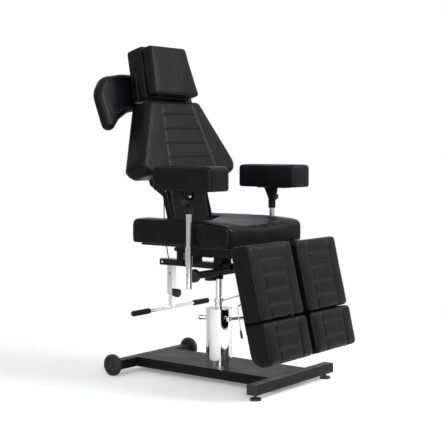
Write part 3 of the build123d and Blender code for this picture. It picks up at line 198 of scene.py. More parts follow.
def grained(material, scale, height, smooth, rough, colours=None):
    """Adds a fine noise to a finish. It tilts the surface as bump and moves the roughness between smooth and
    rough, and with two colours it drifts slowly from one to the other."""
    low_share, high_share = 0.3, 0.7
    tree = material.node_tree
    shader = tree.nodes["Principled BSDF"]
    place = tree.nodes.new("ShaderNodeTexCoord")
    fine = tree.nodes.new("ShaderNodeTexNoise")
    fine.inputs["Scale"].default_value = scale
    fine.inputs["Detail"].default_value = 3.0
    tree.links.new(place.outputs["Object"], fine.inputs["Vector"])
    bump = tree.nodes.new("ShaderNodeBump")
    bump.inputs["Strength"].default_value = 0.6
    bump.inputs["Distance"].default_value = height
    tree.links.new(fine.outputs["Fac"], bump.inputs["Height"])
    tree.links.new(bump.outputs[0], shader.inputs["Normal"])
    slow = tree.nodes.new("ShaderNodeTexNoise")
    slow.inputs["Scale"].default_value = 9.0
    slow.inputs["Detail"].default_value = 4.0
    tree.links.new(place.outputs["Object"], slow.inputs["Vector"])
    sheen = tree.nodes.new("ShaderNodeMapRange")
    sheen.inputs["From Min"].default_value = low_share
    sheen.inputs["From Max"].default_value = high_share
    sheen.inputs["To Min"].default_value = smooth
    sheen.inputs["To Max"].default_value = rough
    tree.links.new(slow.outputs["Fac"], sheen.inputs["Value"])
    tree.links.new(sheen.outputs[0], shader.inputs["Roughness"])
    if colours:
        drift = tree.nodes.new("ShaderNodeValToRGB")
        drift.color_ramp.elements[0].position = low_share
        drift.color_ramp.elements[0].color = (*colours[0], 1.0)
        drift.color_ramp.elements[1].position = high_share
        drift.color_ramp.elements[1].color = (*colours[1], 1.0)
        tree.links.new(slow.outputs["Fac"], drift.inputs["Fac"])
        tree.links.new(drift.outputs["Color"], shader.inputs["Base Color"])
    return bump


def coat(name, metallic=0.0, specular=0.5):
    """A new finish with its metal share and its shine."""
    material = bpy.data.materials.new(name)
    material.use_nodes = True
    shader = material.node_tree.nodes["Principled BSDF"]
    shader.inputs["Metallic"].default_value = metallic
    shader.inputs["Specular IOR Level"].default_value = specular
    return material


powder_black = coat("powder_black", specular=0.12)
grained(powder_black, scale=700.0, height=0.00012, smooth=0.34, rough=0.44,
        colours=((0.005, 0.005, 0.0055), (0.008, 0.008, 0.0087)))
moulded_black = coat("moulded_black", specular=0.4)
grained(moulded_black, scale=1400.0, height=0.0001, smooth=0.5, rough=0.62,
        colours=((0.012, 0.012, 0.013), (0.018, 0.018, 0.019)))
for node in ("front_crossbar", "rear_crossbar", "base_deck"):
    dress(node, powder_black)
for node in ("bar_end_caps", "levelling_feet"):
    dress(node, moulded_black)

# Wheels and axle. Solid rubber tyres on moulded discs turn on a blackened steel axle, which is pushed
# through the rear bar.
wheel_black = coat("wheel_black", specular=0.35)
grained(wheel_black, scale=900.0, height=0.0002, smooth=0.55, rough=0.7,
        colours=((0.012, 0.012, 0.012), (0.02, 0.02, 0.02)))
dress("right_wheel", wheel_black)
dress("left_wheel", wheel_black)
dress("rear_axle", moulded_black)

# Pump column. A hydraulic pump stands bolted on the deck under a chromed sheet steel cover, and its hard
# chromed ram lifts the seat. The foot pedal and the lock lever reach out of the cover's slots.
chrome = coat("chrome_plate", metallic=1.0)
grained(chrome, scale=60.0, height=0.00002, smooth=0.045, rough=0.09,
        colours=((0.72, 0.71, 0.70), (0.80, 0.79, 0.78)))
dress("pump_body", powder_black)
for node in ("pump_cover", "ram", "turn_lock_lever", "foot_pedal"):
    dress(node, chrome)

# Saddle, rail and frames. The saddle sits on the ram and carries a flat rail and the welded frames of the
# seat and the back, all of powder coated steel. Moulded knobs on steel screws lock them, and the sleeve
# under the rail is chromed below its weld.
knob_black = coat("knob_black", specular=0.3)
grained(knob_black, scale=1200.0, height=0.00008, smooth=0.36, rough=0.48,
        colours=((0.007, 0.007, 0.0076), (0.011, 0.011, 0.0118)))
bright_steel = coat("bright_steel", metallic=1.0)
grained(bright_steel, scale=500.0, height=0.00004, smooth=0.22, rough=0.34,
        colours=((0.55, 0.55, 0.56), (0.66, 0.66, 0.67)))
sleeve_top = 0.4995
rail_finish = coat("rail_finish", specular=0.22)
grained(rail_finish, scale=500.0, height=0.00006, smooth=0.12, rough=0.2)
rail_tree = rail_finish.node_tree
rail_shader = rail_tree.nodes["Principled BSDF"]
rail_place = rail_tree.nodes.new("ShaderNodeSeparateXYZ")
rail_low = rail_tree.nodes.new("ShaderNodeMath")
rail_low.operation = "LESS_THAN"
rail_low.inputs[1].default_value = sleeve_top
rail_mix = rail_tree.nodes.new("ShaderNodeMix")
rail_mix.data_type = "RGBA"
rail_mix.inputs["A"].default_value = (0.008, 0.008, 0.009, 1.0)
rail_mix.inputs["B"].default_value = (0.70, 0.68, 0.66, 1.0)
rail_tree.links.new(rail_tree.nodes["Texture Coordinate"].outputs["Object"], rail_place.inputs[0])
rail_tree.links.new(rail_place.outputs["Z"], rail_low.inputs[0])
rail_tree.links.new(rail_low.outputs[0], rail_mix.inputs["Factor"])
rail_tree.links.new(rail_low.outputs[0], rail_shader.inputs["Metallic"])
rail_tree.links.new(rail_mix.outputs["Result"], rail_shader.inputs["Base Color"])
dress("seat_rail", rail_finish)
for node in ("saddle", "rail_brackets", "seat_frame", "back_frame", "gas_spring"):
    dress(node, powder_black)
for node in ("saddle_knobs", "turn_brake_knob", "tee_knob"):
    dress(node, knob_black)
dress("back_hinge", bright_steel)
dress("gas_rod", chrome)
dress("recline_cable", moulded_black)

# Boards. Plywood painted black lies under the seat's foam and behind the back's. The covers are stapled to
# it and screws hold it on the frames.
board_black = coat("board_black", specular=0.3)
grained(board_black, scale=300.0, height=0.0002, smooth=0.6, rough=0.75,
        colours=((0.008, 0.008, 0.008), (0.013, 0.013, 0.0125)))
dress("seat_board", board_black)
dress("back_board", board_black)

# T-bar. A chromed tube with a row of index holes slides in its sleeve behind the rail, and a cross tube is
# welded to its foot. Foam grips are pushed over the ends.
foam_black = coat("foam_black", specular=0.2)
grained(foam_black, scale=1800.0, height=0.0003, smooth=0.75, rough=0.9,
        colours=((0.010, 0.010, 0.010), (0.018, 0.018, 0.018)))
dress("tee_bar", chrome)
dress("tee_grips", foam_black)

# Arm rest posts. Chromed tubes slide in sleeves welded to the seat frame. A black cast head is pressed on
# each, and the bracket under the arm pad tips on its pin and is held by a moulded knob.
dress("arm_sleeves", chrome)
for side in ("right", "left"):
    dress(f"{side}_arm_post", chrome)
    dress(f"{side}_arm_head", powder_black)
    dress(f"{side}_arm_bracket", powder_black)
    dress(f"{side}_arm_knob", knob_black)

# Head rest posts and wing hinge. Two chromed rods slide down behind the back board, and a powder coated
# steel pin behind the head rest carries the leaf that the wing pad is screwed to.
dress("head_posts", chrome)
dress("wing_hinge", powder_black)
dress("wing_leaf", powder_black)

# Leg hinges and foot rods. Powder coated arms swing on a steel axle under the seat's front edge, and plated
# rods slide in their guides to carry the foot pads.
dress("leg_axle", bright_steel)
for side in ("right", "left"):
    dress(f"{side}_leg_arm", powder_black)
    dress(f"{side}_leg_guides", powder_black)
    dress(f"{side}_foot_rods", chrome)

# Seat cushion. A block of firm foam on the seat board under tight black vinyl, with a dished middle, raised
# sides and a slot at the back for the tipping back rest. The vinyl is stapled under the board.
vinyl = coat("black_vinyl", specular=0.10)
vinyl_bump = grained(vinyl, scale=15.0, height=0.0045, smooth=0.28, rough=0.40,
                     colours=((0.0036, 0.0033, 0.0046), (0.0054, 0.0050, 0.0068)))
vinyl_tree = vinyl.node_tree
vinyl_place = vinyl_tree.nodes["Texture Coordinate"]
pores = vinyl_tree.nodes.new("ShaderNodeTexVoronoi")
pores.inputs["Scale"].default_value = 620.0
pores.inputs["Randomness"].default_value = 0.9
vinyl_tree.links.new(vinyl_place.outputs["Object"], pores.inputs["Vector"])
pore_bump = vinyl_tree.nodes.new("ShaderNodeBump")
pore_bump.inputs["Strength"].default_value = 0.35
pore_bump.inputs["Distance"].default_value = 0.0004
vinyl_tree.links.new(pores.outputs["Distance"], pore_bump.inputs["Height"])
vinyl_tree.links.new(vinyl_bump.outputs[0], pore_bump.inputs["Normal"])
vinyl_tree.links.new(pore_bump.outputs[0], vinyl_tree.nodes["Principled BSDF"].inputs["Normal"])


def inset_corners(corners, amount):
    """The corners of an anticlockwise polygon with every side moved in: each goes along the sum of its two
    sides' inward normals, divided by one plus their product."""
    before, after = corners - np.roll(corners, 1, 0), np.roll(corners, -1, 0) - corners
    normals = [np.stack([-side[:, 1], side[:, 0]], 1) / np.linalg.norm(side, axis=1)[:, None]
               for side in (before, after)]
    share = 1 + (normals[0] * normals[1]).sum(1)
    return corners + (normals[0] + normals[1]) / share[:, None] * amount


def rounded_outline(corners, radii, count):
    """Evenly spaced points round a polygon whose corners are arcs: each arc starts a radius times the
    tangent of half the turn before the corner and turns its first spoke by a growing share of the turn."""
    arc_points = 12
    before, after = corners - np.roll(corners, 1, 0), np.roll(corners, -1, 0) - corners
    ahead = before / np.linalg.norm(before, axis=1)[:, None]
    onward = after / np.linalg.norm(after, axis=1)[:, None]
    turn = np.arctan2(ahead[:, 0] * onward[:, 1] - ahead[:, 1] * onward[:, 0], (ahead * onward).sum(1))
    start = corners - ahead * (radii * np.tan(abs(turn) / 2))[:, None]
    hub = start + np.stack([-ahead[:, 1], ahead[:, 0]], 1) * (radii * np.sign(turn))[:, None]
    spoke = start - hub
    angle = turn[:, None] * np.linspace(0, 1, arc_points)[None, :]
    arcs = hub[:, None] + np.stack([
        spoke[:, :1] * np.cos(angle) - spoke[:, 1:] * np.sin(angle),
        spoke[:, :1] * np.sin(angle) + spoke[:, 1:] * np.cos(angle)], 2)
    line = np.concatenate([arcs.reshape(-1, 2), arcs[0, :1]])
    run = np.concatenate([[0], np.cumsum(np.linalg.norm(np.diff(line, axis=0), axis=1))])
    steps = np.linspace(0, run[-1], count, endpoint=False)
    return np.stack([np.interp(steps, run, line[:, 0]), np.interp(steps, run, line[:, 1])], 1)


def wrapped_quads(levels, count):
    """The faces between each closed ring of points and the next one."""
    row, column = np.meshgrid(np.arange(levels - 1), np.arange(count), indexing="ij")
    following = (column + 1) % count
    return np.stack([row * count + column, row * count + following, (row + 1) * count + following,
                     (row + 1) * count + column], -1).reshape(-1, 4)


def closed_faces(levels, count):
    """The faces of a stack of rings whose first and last ring close on the two points that follow them."""
    around = np.arange(count)
    following = (around + 1) % count
    top = (levels - 1) * count
    low = np.stack([np.full(count, levels * count), following, around], 1)
    high = np.stack([np.full(count, levels * count + 1), top + around, top + following], 1)
    return wrapped_quads(levels, count).tolist() + low.tolist() + high.tolist()


def piece_from(name, points, faces):
    """A new piece of the scene from its points and faces."""
    mesh = bpy.data.meshes.new(name)
    mesh.from_pydata(points.tolist(), [], faces)
    piece = bpy.data.objects.new(name, mesh)
    bpy.context.scene.collection.objects.link(piece)
    return piece


def smoothed(piece):
    """Shades every face of a piece smooth."""
    piece.data.polygons.foreach_set("use_smooth", np.ones(len(piece.data.polygons), bool))


def foam_block(name, corners, radii, rings, middle):
    """A closed block in the pad's own width, height and depth: the rounded outline is drawn in by each
    ring's inset at each ring's depth, and the first and last rings close towards the middle point in even
    steps."""
    count = 220
    least_radius = 0.003
    corners, radii = np.array(corners, float), np.array(radii, float) * np.ones(len(corners))
    side = np.roll(corners, -1, 0) - corners
    back = corners - np.roll(corners, 1, 0)
    bend = np.sign(back[:, 0] * side[:, 1] - back[:, 1] * side[:, 0])
    loops = []
    for depth, inset in rings:
        ring_radii = np.maximum(radii - bend * inset, least_radius)
        loop = rounded_outline(inset_corners(corners, inset), ring_radii, count)
        loops.append(np.column_stack([loop, np.full(count, depth)]))
    middle = np.array(middle)
    first_loop, last_loop = loops[0], loops[-1]
    shares = np.linspace(1, 0, 9)[1:-1]
    first = [np.column_stack([middle + (first_loop[:, :2] - middle) * share, first_loop[:, 2]])
             for share in shares[::-1]]
    last = [np.column_stack([middle + (last_loop[:, :2] - middle) * share, last_loop[:, 2]])
            for share in shares]
    grid = np.array(first + loops + last)
    ends = [[[*middle, grid[0, 0, 2]]], [[*middle, grid[-1, 0, 2]]]]
    return piece_from(name, np.concatenate([grid.reshape(-1, 3)] + ends), closed_faces(len(grid), count))


def settled(block):
    """Works out a piece's modifiers and keeps the result as its mesh."""
    ready = block.evaluated_get(bpy.context.evaluated_depsgraph_get())
    mesh = bpy.data.meshes.new_from_object(ready)
    block.modifiers.clear()
    block.data = mesh


def read_points(mesh):
    """The mesh's points, one row each."""
    flat = np.zeros(len(mesh.vertices) * 3)
    mesh.vertices.foreach_get("co", flat)
    return flat.reshape(-1, 3)


def write_points(piece, points):
    """Puts moved points back into a piece."""
    piece.data.vertices.foreach_set("co", points.ravel())
    piece.data.update()


def read_normals(mesh):
    """The mesh's normals at its points, one row each."""
    flat = np.zeros(len(mesh.vertices) * 3)
    mesh.vertex_normals.foreach_get("vector", flat)
    return flat.reshape(-1, 3)


def evened(mesh, values, rounds):
    """Each point's value moved half way to the mean of its neighbours along the mesh's edges, round after
    round."""
    flat = np.zeros(len(mesh.edges) * 2, int)
    mesh.edges.foreach_get("vertices", flat)
    near, far = flat[::2], flat[1::2]
    size = len(values)
    count = np.bincount(flat, minlength=size)[:, None]
    for step in range(rounds):
        total = np.stack([np.bincount(near, column[far], size) + np.bincount(far, column[near], size)
                          for column in values.T], 1)
        values = 0.5 * values + 0.5 * total / count
    return values


def remeshed(block, cell):
    """Gives a block an even mesh of cells."""
    remesh = block.modifiers.new("even_mesh", "REMESH")
    remesh.mode = "VOXEL"
    remesh.voxel_size = cell
    settled(block)


def swelling(twin, cap):
    """The start and the move of each point of a coarse twin that runs as cloth with a pressure inside for
    twenty steps. The moves are cut to the cap and evened out."""
    last_step = 20
    start = read_points(twin.data)
    cloth = twin.modifiers.new("vinyl_cover", "CLOTH")
    cloth.settings.quality = 4
    cloth.settings.mass = 0.4
    cloth.settings.tension_stiffness = 25.0
    cloth.settings.compression_stiffness = 25.0
    cloth.settings.shear_stiffness = 12.0
    cloth.settings.bending_stiffness = 2.0
    cloth.settings.use_pressure = True
    cloth.settings.uniform_pressure_force = 4.0
    cloth.settings.effector_weights.gravity = 0.0
    cloth.point_cache.frame_start = 1
    cloth.point_cache.frame_end = last_step
    for step in range(1, last_step + 1):
        bpy.context.scene.frame_set(step)
    swollen = read_points(twin.evaluated_get(bpy.context.evaluated_depsgraph_get()).data)
    twin.modifiers.clear()
    bpy.context.scene.frame_set(1)
    move = swollen - start
    far = np.linalg.norm(move, axis=1)
    return start, evened(twin.data, move * (np.minimum(far, cap) / np.maximum(far, 1e-9))[:, None], 5)


def stuffed(block, cell, cap, outward, back_depth):
    """Swells a block as foam under vinyl does. An even mesh of cells takes the moves of a coarser twin,
    weighted by one over the distance of the four nearest points. They fade to nothing at the flat back. One
    subdivision follows."""
    twin_share, nearest, softening, fade_depth = 2.0, 4, 0.001, 0.02
    twin = block.copy()
    twin.data = block.data.copy()
    bpy.context.scene.collection.objects.link(twin)
    remeshed(block, cell)
    rest = evened(block.data, read_points(block.data), 2)
    remeshed(twin, twin_share * cell)
    start, move = swelling(twin, cap)
    tree = KDTree(len(start))
    for index, point in enumerate(start):
        tree.insert(point, index)
    tree.balance()
    found = [tree.find_n(point, nearest) for point in rest]
    near = np.array([[hit[1] for hit in hits] for hits in found])
    weight = 1 / (np.array([[hit[2] for hit in hits] for hits in found]) + softening)
    carried = (move[near] * (weight / weight.sum(1)[:, None])[:, :, None]).sum(1)
    fade = np.clip((rest @ np.array(outward, float) - back_depth) / fade_depth, 0, 1)
    rest = rest + carried * fade[:, None]
    bpy.data.objects.remove(twin)
    write_points(block, rest)
    finer = block.modifiers.new("finer", "SUBSURF")
    finer.levels = finer.render_levels = 1
    settled(block)
    smoothed(block)


def moved(block, place):
    """Turns a finished pad from its own width, height and depth into the chair's frame."""
    write_points(block, place(read_points(block.data)))


def covered(piece, body, slot, fill, *replaced):
    """Puts the vinyl on a finished pad and fixes it to its body in place of the CAD pad."""
    piece.data.materials.clear()
    piece.data.materials.append(vinyl)
    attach(piece, body)
    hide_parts(*replaced)


def upright(points):
    """Width and height of the outline go to X and Y, measured from the column's axis, and depth goes up."""
    return points + np.array([0.0, column_y, 0.0])


column_y = 0.0167
firm_fill = 0.9
seat_half, seat_front, seat_rear = 0.289, -0.274, 0.287
slot_half, slot_front = 0.1725, 0.116
seat_low, seat_high = 0.6278, 0.737
seat_corners = [(-seat_half, seat_front), (seat_half, seat_front), (seat_half, seat_rear),
                (slot_half, seat_rear), (slot_half, slot_front), (-slot_half, slot_front),
                (-slot_half, seat_rear), (-seat_half, seat_rear)]
seat_radii = [0.034, 0.034, 0.03, 0.012, 0.014, 0.014, 0.012, 0.03]
seat_rings = [(seat_low, 0.010), (seat_low + 0.002, 0.005), (seat_low + 0.007, 0.001), (seat_low + 0.03, 0.0),
              (seat_high - 0.03, 0.0), (seat_high - 0.016, 0.001), (seat_high - 0.008, 0.004),
              (seat_high - 0.0025, 0.009), (seat_high, 0.016)]
seat = foam_block("seat_pad", seat_corners, seat_radii, seat_rings, middle=(0.0, -0.06))
stuffed(seat, cell=0.0065, cap=0.0025, outward=(0, 0, 1), back_depth=seat_low)

dish_half, dish_depth = 0.205, 0.019
slope_reach, slope_drop = 0.205, 0.014
nose_reach, nose_drop = 0.05, 0.012
rear_reach, rear_drop = 0.04, 0.010
wave_height, crease_height = 0.0010, 0.0014
crease_reach, crease_width = 0.03, 0.05
firm_base = seat_low + 0.03
shape = read_points(seat.data)
across, along, height = shape[:, 0].copy(), shape[:, 1].copy(), shape[:, 2].copy()
lift = np.clip((height - firm_base) / (seat_high - firm_base), 0, 1)
dish = np.clip(1 - (across / dish_half) ** 2, 0, 1) * dish_depth
reach = along - seat_front
slope = slope_drop * np.clip(1 - reach / slope_reach, 0, 1) ** 1.3
nose = nose_drop * np.clip(1 - reach / nose_reach, 0, 1) ** 2
rear_fall = rear_drop * np.clip(1 - (seat_rear - along) / rear_reach, 0, 1) ** 2
height -= lift * (dish * np.clip(0.5 + reach / 0.25, 0, 1) + slope + nose + rear_fall)
height += lift * wave_height * np.sin(across * 31.0 + 2.0 * np.sin(along * 17.0)) * np.sin(along * 23.0)
crease = np.sin(across * 61.0 + 1.7 * np.sin(across * 23.0) + 14.0 * reach)
crease *= np.exp(-((reach - crease_reach) / crease_width) ** 2)
height += lift * crease_height * crease * np.clip(0.5 - across / 0.4, 0.1, 1)
shape[:, 2] = height
write_points(seat, shape)
moved(seat, upright)
covered(seat, "seat_body", "black_vinyl", firm_fill, "seat_cushion")

# Back cushion. A wide foam block on a board, narrow at the head, with two long seams and four cross seams
# sewn through the front, so that the panels between them stand up a little.


def leaning_place(y, z, lean):
    """Turns width, height up the pad and depth out of its front into the chair's frame, for a face that
    leans back: the way up is the sine of the lean back and the cosine up, and the way out is the cosine
    forward and the sine up."""
    up = np.array([0.0, math.sin(math.radians(lean)), math.cos(math.radians(lean))])
    out = np.array([0.0, -math.cos(math.radians(lean)), math.sin(math.radians(lean))])
    base = np.array([0.0, y + column_y, z])

    def place(points):
        return base + points[:, :1] * np.array([1.0, 0.0, 0.0]) + points[:, 1:2] * up + points[:, 2:3] * out

    return place, up, out


def sewn(piece, lines):
    """Sinks the front of a pad along its seams. A point goes in by the depth times the sum of a narrow bell
    curve of its distance to the nearest seam and a third of one that is four times wider, faded off the
    front face."""
    depth, width = 0.0032, 0.0038
    shape, normals = read_points(piece.data), read_normals(piece.data)
    near = np.full(len(shape), 9.0)
    for start, end in lines:
        start, end = np.array(start), np.array(end)
        run = end - start
        share = np.clip(((shape[:, :2] - start) @ run) / (run @ run), 0, 1)
        near = np.minimum(near, np.linalg.norm(shape[:, :2] - start - share[:, None] * run, axis=1))
    facing = np.clip((normals[:, 2] - 0.35) / 0.4, 0, 1)
    shape[:, 2] -= depth * (np.exp(-(near / width) ** 2) + np.exp(-(near / (4 * width)) ** 2) / 3) * facing
    write_points(piece, shape)


def fixed(piece, material, body):
    """Gives a piece its finish and fixes it to its body."""
    piece.data.materials.append(material)
    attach(piece, body)


def stitched(name, piece, face, lines, body):
    """A row of thread stitches beside each seam: short six-sided beads whose ends narrow, each dropped along
    the pad's depth onto its face."""
    place, up, out = face
    polygons = [tuple(polygon.vertices) for polygon in piece.data.polygons]
    tree = BVHTree.FromPolygons(read_points(piece.data).tolist(), polygons)
    gap, pitch, length, thick = 0.0045, 0.0065, 0.0046, 0.00055
    above = 0.16
    sides, rings = 6, 4
    around = np.linspace(0, 2 * math.pi, sides, endpoint=False)[None, :, None]
    along = (np.array([-0.5, -0.3, 0.3, 0.5]) * length)[:, None, None]
    girth = (np.array([0.35, 1.0, 1.0, 0.35]) * thick)[:, None, None]
    points, faces = [], []
    strip = wrapped_quads(rings, sides)
    for start, end in lines:
        start, end = np.array(start), np.array(end)
        run = np.linalg.norm(end - start)
        way = (end - start) / run
        beside = np.array([-way[1], way[0]]) * gap
        for at in np.arange(pitch, run - pitch / 2, pitch):
            spot = start + way * at + beside
            high = place(np.array([[spot[0], spot[1], above]]))[0]
            hit = tree.ray_cast(Vector(high), Vector(-out))[0]
            if hit is None:
                continue
            lead = np.array([way[0], 0.0, 0.0]) + up * way[1]
            wide = np.cross(out, lead)
            middle = np.array(hit) + out * thick * 0.3
            bead = middle + along * lead + girth * (np.cos(around) * wide + np.sin(around) * out)
            offset = len(points) * rings * sides
            points.append(bead.reshape(-1, 3))
            faces.append(strip + offset)
            faces.append(np.array([[offset + 5, offset + 4, offset + 3, offset + 2]]))
            faces.append(np.array([[offset + 18, offset + 19, offset + 20, offset + 21]]))
    thread = piece_from(name, np.concatenate(points), np.concatenate(faces).tolist())
    fixed(thread, thread_black, body)


thread_black = coat("thread_black", specular=0.2)
grained(thread_black, scale=2500.0, height=0.0001, smooth=0.5, rough=0.6,
        colours=((0.003, 0.003, 0.0033), (0.005, 0.005, 0.0054)))

back_face = leaning_place(y=0.1665, z=1.009, lean=18.7)
foot_half, waist_half, crown_half = 0.312, 0.349, 0.184
back_foot, back_waist, back_crown = -0.077, -0.032, 0.286
back_corners = [(-foot_half, back_foot), (foot_half, back_foot), (waist_half, back_waist),
                (crown_half, back_crown), (-crown_half, back_crown), (-waist_half, back_waist)]
back_radii = [0.050, 0.050, 0.050, 0.030, 0.030, 0.050]
back_rings = [(-0.1165, 0.016), (-0.115, 0.009), (-0.110, 0.003), (-0.10, 0.0), (-0.06, 0.0), (-0.030, 0.0),
              (-0.017, 0.002), (-0.008, 0.006), (-0.0025, 0.013), (0.0, 0.023)]
seam_low, seam_high = -0.079, 0.288
seam_half_low, seam_half_high = 0.172, 0.105
back_seams = [((way * seam_half_low, seam_low), (way * seam_half_high, seam_high)) for way in (-1, 1)]
for up_pad in (0.0, 0.068, 0.137, 0.207):
    half = seam_half_low - (seam_half_low - seam_half_high) * (up_pad - seam_low) / (seam_high - seam_low)
    back_seams.append(((-half, up_pad), (half, up_pad)))
back = foam_block("back_pad", back_corners, back_radii, back_rings, middle=(0.0, 0.08))
stuffed(back, cell=0.0065, cap=0.0028, outward=(0, 0, 1), back_depth=-0.1165)
sewn(back, back_seams)
moved(back, back_face[0])
covered(back, "back_body", "black_vinyl", firm_fill, "back_cushion")
stitched("back_stitches", back, back_face, back_seams, "back_body")

# Lower back panel. A thin foam pad covered in the same vinyl, which fills the gap above the seat and is
# screwed to the two bars of the back frame.
lumbar_face = leaning_place(y=0.146, z=0.684, lean=12.0)
lumbar_half, lumbar_foot, lumbar_crown = 0.1355, 0.001, 0.231
lumbar_fill = 0.8
lumbar_corners = [(-lumbar_half, lumbar_foot), (lumbar_half, lumbar_foot), (lumbar_half, lumbar_crown),
                  (-lumbar_half, lumbar_crown)]
lumbar_rings = [(-0.0265, 0.006), (-0.024, 0.002), (-0.018, 0.0), (-0.010, 0.0), (-0.005, 0.002),
                (-0.001, 0.006), (0.0, 0.010)]
lumbar = foam_block("lower_back_pad", lumbar_corners, radii=0.012, rings=lumbar_rings, middle=(0.0, 0.116))
stuffed(lumbar, cell=0.005, cap=0.0015, outward=(0, 0, 1), back_depth=-0.0265)
moved(lumbar, lumbar_face[0])
covered(lumbar, "back_body", "black_vinyl", lumbar_fill, "lumbar_pad")

# Head rest. Two tapered foam pads in sewn vinyl stand back to back with a dark gap between them. The rear
# one is carried on the chromed posts, and a seam across its side and one down from it join its panels.
head_face = leaning_place(y=0.2368, z=1.296, lean=15.2)
head_half, head_taper = 0.162, 0.1317


def head_corners(low, high):
    """The tapered outline between two heights: the half width falls evenly from the foot to the crown."""
    half_low, half_high = head_half - head_taper * low, head_half - head_taper * high
    return [(-half_low, low), (half_low, low), (half_high, high), (-half_high, high)]


front_rings = [(-0.052, 0.010), (-0.0505, 0.004), (-0.045, 0.0), (-0.025, 0.0), (-0.011, 0.001),
               (-0.005, 0.003), (-0.001, 0.007), (0.0, 0.012)]
front_corners = head_corners(low=0.001, high=0.242)
front_pad = foam_block("head_pad_front", front_corners, radii=0.013, rings=front_rings, middle=(0.0, 0.118))
stuffed(front_pad, cell=0.005, cap=0.002, outward=(0, 0, 1), back_depth=-0.052)
moved(front_pad, head_face[0])
covered(front_pad, "headrest_body", "black_vinyl", firm_fill, "headrest_front_pad")

rear_rings = [(-0.153, 0.012), (-0.1515, 0.005), (-0.146, 0.001), (-0.115, 0.0), (-0.068, 0.0),
              (-0.061, 0.002), (-0.057, 0.008)]
cross_seam, down_seam = 0.152, -0.105
side_seam_depth, side_seam_width = 0.0026, 0.0034
rear_corners = head_corners(low=-0.004, high=0.253)
rear_pad = foam_block("head_pad_rear", rear_corners, radii=0.013, rings=rear_rings, middle=(0.0, 0.118))
stuffed(rear_pad, cell=0.005, cap=0.0016, outward=(0, 0, -1), back_depth=0.057)
shape, normals = read_points(rear_pad.data), read_normals(rear_pad.data)
below = np.where(shape[:, 1] < cross_seam, abs(shape[:, 2] - down_seam), 9.0)
near = np.minimum(abs(shape[:, 1] - cross_seam), below)
sunk = side_seam_depth * np.exp(-(near / side_seam_width) ** 2) * normals[:, 0]
shape[:, 0] -= sunk * (abs(normals[:, 0]) > 0.5)
write_points(rear_pad, shape)
moved(rear_pad, head_face[0])
covered(rear_pad, "headrest_body", "black_vinyl", firm_fill, "headrest_rear_pad")

# Wing pad. A wide foam pad on a board behind the head rest, whose two lobes hang down, with soft edges all
# round because the cover is pulled over them without a boxed side.
wing_near = [(0.150, -0.029, 0.09), (0.232, -0.068, 0.05), (0.286, -0.119, 0.022), (0.320, -0.101, 0.03),
             (0.340, 0.066, 0.08), (0.276, 0.140, 0.08), (0.150, 0.159, 0.2)]
wing_far = [(-x, up, radius) for x, up, radius in reversed(wing_near)]
wing_outline = [wing_far[-1], (0.0, -0.008, 0.3)] + wing_near + wing_far[:-1]
wing_corners = [(x, up) for x, up, radius in wing_outline]
wing_radii = [radius for x, up, radius in wing_outline]
wing_rings = [(-0.2335, 0.020), (-0.2325, 0.014), (-0.228, 0.007), (-0.221, 0.002), (-0.213, 0.0),
              (-0.205, 0.0), (-0.198, 0.0), (-0.190, 0.002), (-0.183, 0.007), (-0.1785, 0.014),
              (-0.1775, 0.020)]
wing = foam_block("wing_pad_cover", wing_corners, wing_radii, wing_rings, middle=(0.0, 0.085))
stuffed(wing, cell=0.006, cap=0.0015, outward=(0, 0, 1), back_depth=-0.30)
moved(wing, head_face[0])
covered(wing, "wing_body", "black_vinyl", firm_fill, "wing_pad")

# Arm pads. Firm boxed foam pads in vinyl on short boards, which screws from below hold level on the swivel
# brackets at both sides of the seat.
arm_x, arm_half = 0.312, 0.070
arm_front, arm_rear = -0.248, 0.074
arm_low = 0.8696
arm_rings = [(arm_low, 0.008), (0.871, 0.003), (0.877, 0.0), (0.90, 0.0), (0.945, 0.0), (0.962, 0.0005),
             (0.9685, 0.0025), (0.9725, 0.006), (0.9745, 0.012)]
for side, way in (("right", -1.0), ("left", 1.0)):
    centre = way * arm_x
    arm_corners = [(centre - arm_half, arm_front), (centre + arm_half, arm_front),
                   (centre + arm_half, arm_rear), (centre - arm_half, arm_rear)]
    arm_pad = foam_block(f"{side}_arm_pad", arm_corners, radii=0.018, rings=arm_rings,
                         middle=(centre, -0.088))
    stuffed(arm_pad, cell=0.005, cap=0.002, outward=(0, 0, 1), back_depth=arm_low)
    moved(arm_pad, upright)
    covered(arm_pad, f"{side}_arm_rest_body", "black_vinyl", firm_fill, f"{side}_arm_cushion")

# Leg pads and foot pads. Each leg has a long foam pad and a shorter foot pad with a round heel, both in
# vinyl with two long seams and a ladder of short cross seams between them. Behind the joint between the two
# lies a thin strip of the same black vinyl. It is painted shade: a dark sheet that stands in for the shade
# in the gap, so that the gap shows dark rather than the white floor.
leg_face = leaning_place(y=-0.300, z=0.608, lean=13.7)
leg_inner, leg_outer = 0.0175, 0.3415
leg_crown, leg_foot = 0.020, -0.3011
foot_crown, foot_end = -0.3019, -0.4835
pad_rear, foot_front = 0.0195, 0.122
leg_rings = [(pad_rear, 0.010), (0.021, 0.004), (0.027, 0.001), (0.05, 0.0), (0.09, 0.0), (0.105, 0.001),
             (0.1115, 0.004), (0.1155, 0.009), (0.117, 0.015)]
heel_corners = [(pad_rear, foot_end), (foot_front, foot_end), (foot_front, foot_crown),
                (pad_rear, foot_crown)]
heel_radii = [0.060, 0.018, 0.014, 0.010]
seam_shares = (0.24, 0.76)
leg_seam_low, leg_seam_high = -0.297, 0.018
leg_rung_low, leg_rung_run = -0.300, 0.321
foot_seam_low, foot_seam_high = -0.481, -0.306
foot_rung_high, foot_rung_run = -0.3025, 0.1825
shade_strip_low, shade_strip_high, shade_strip_inset = -0.345, -0.265, 0.012
shade_strip_rings = [(0.0166, 0.0006), (0.0170, 0.0), (0.0184, 0.0), (0.0188, 0.0006)]
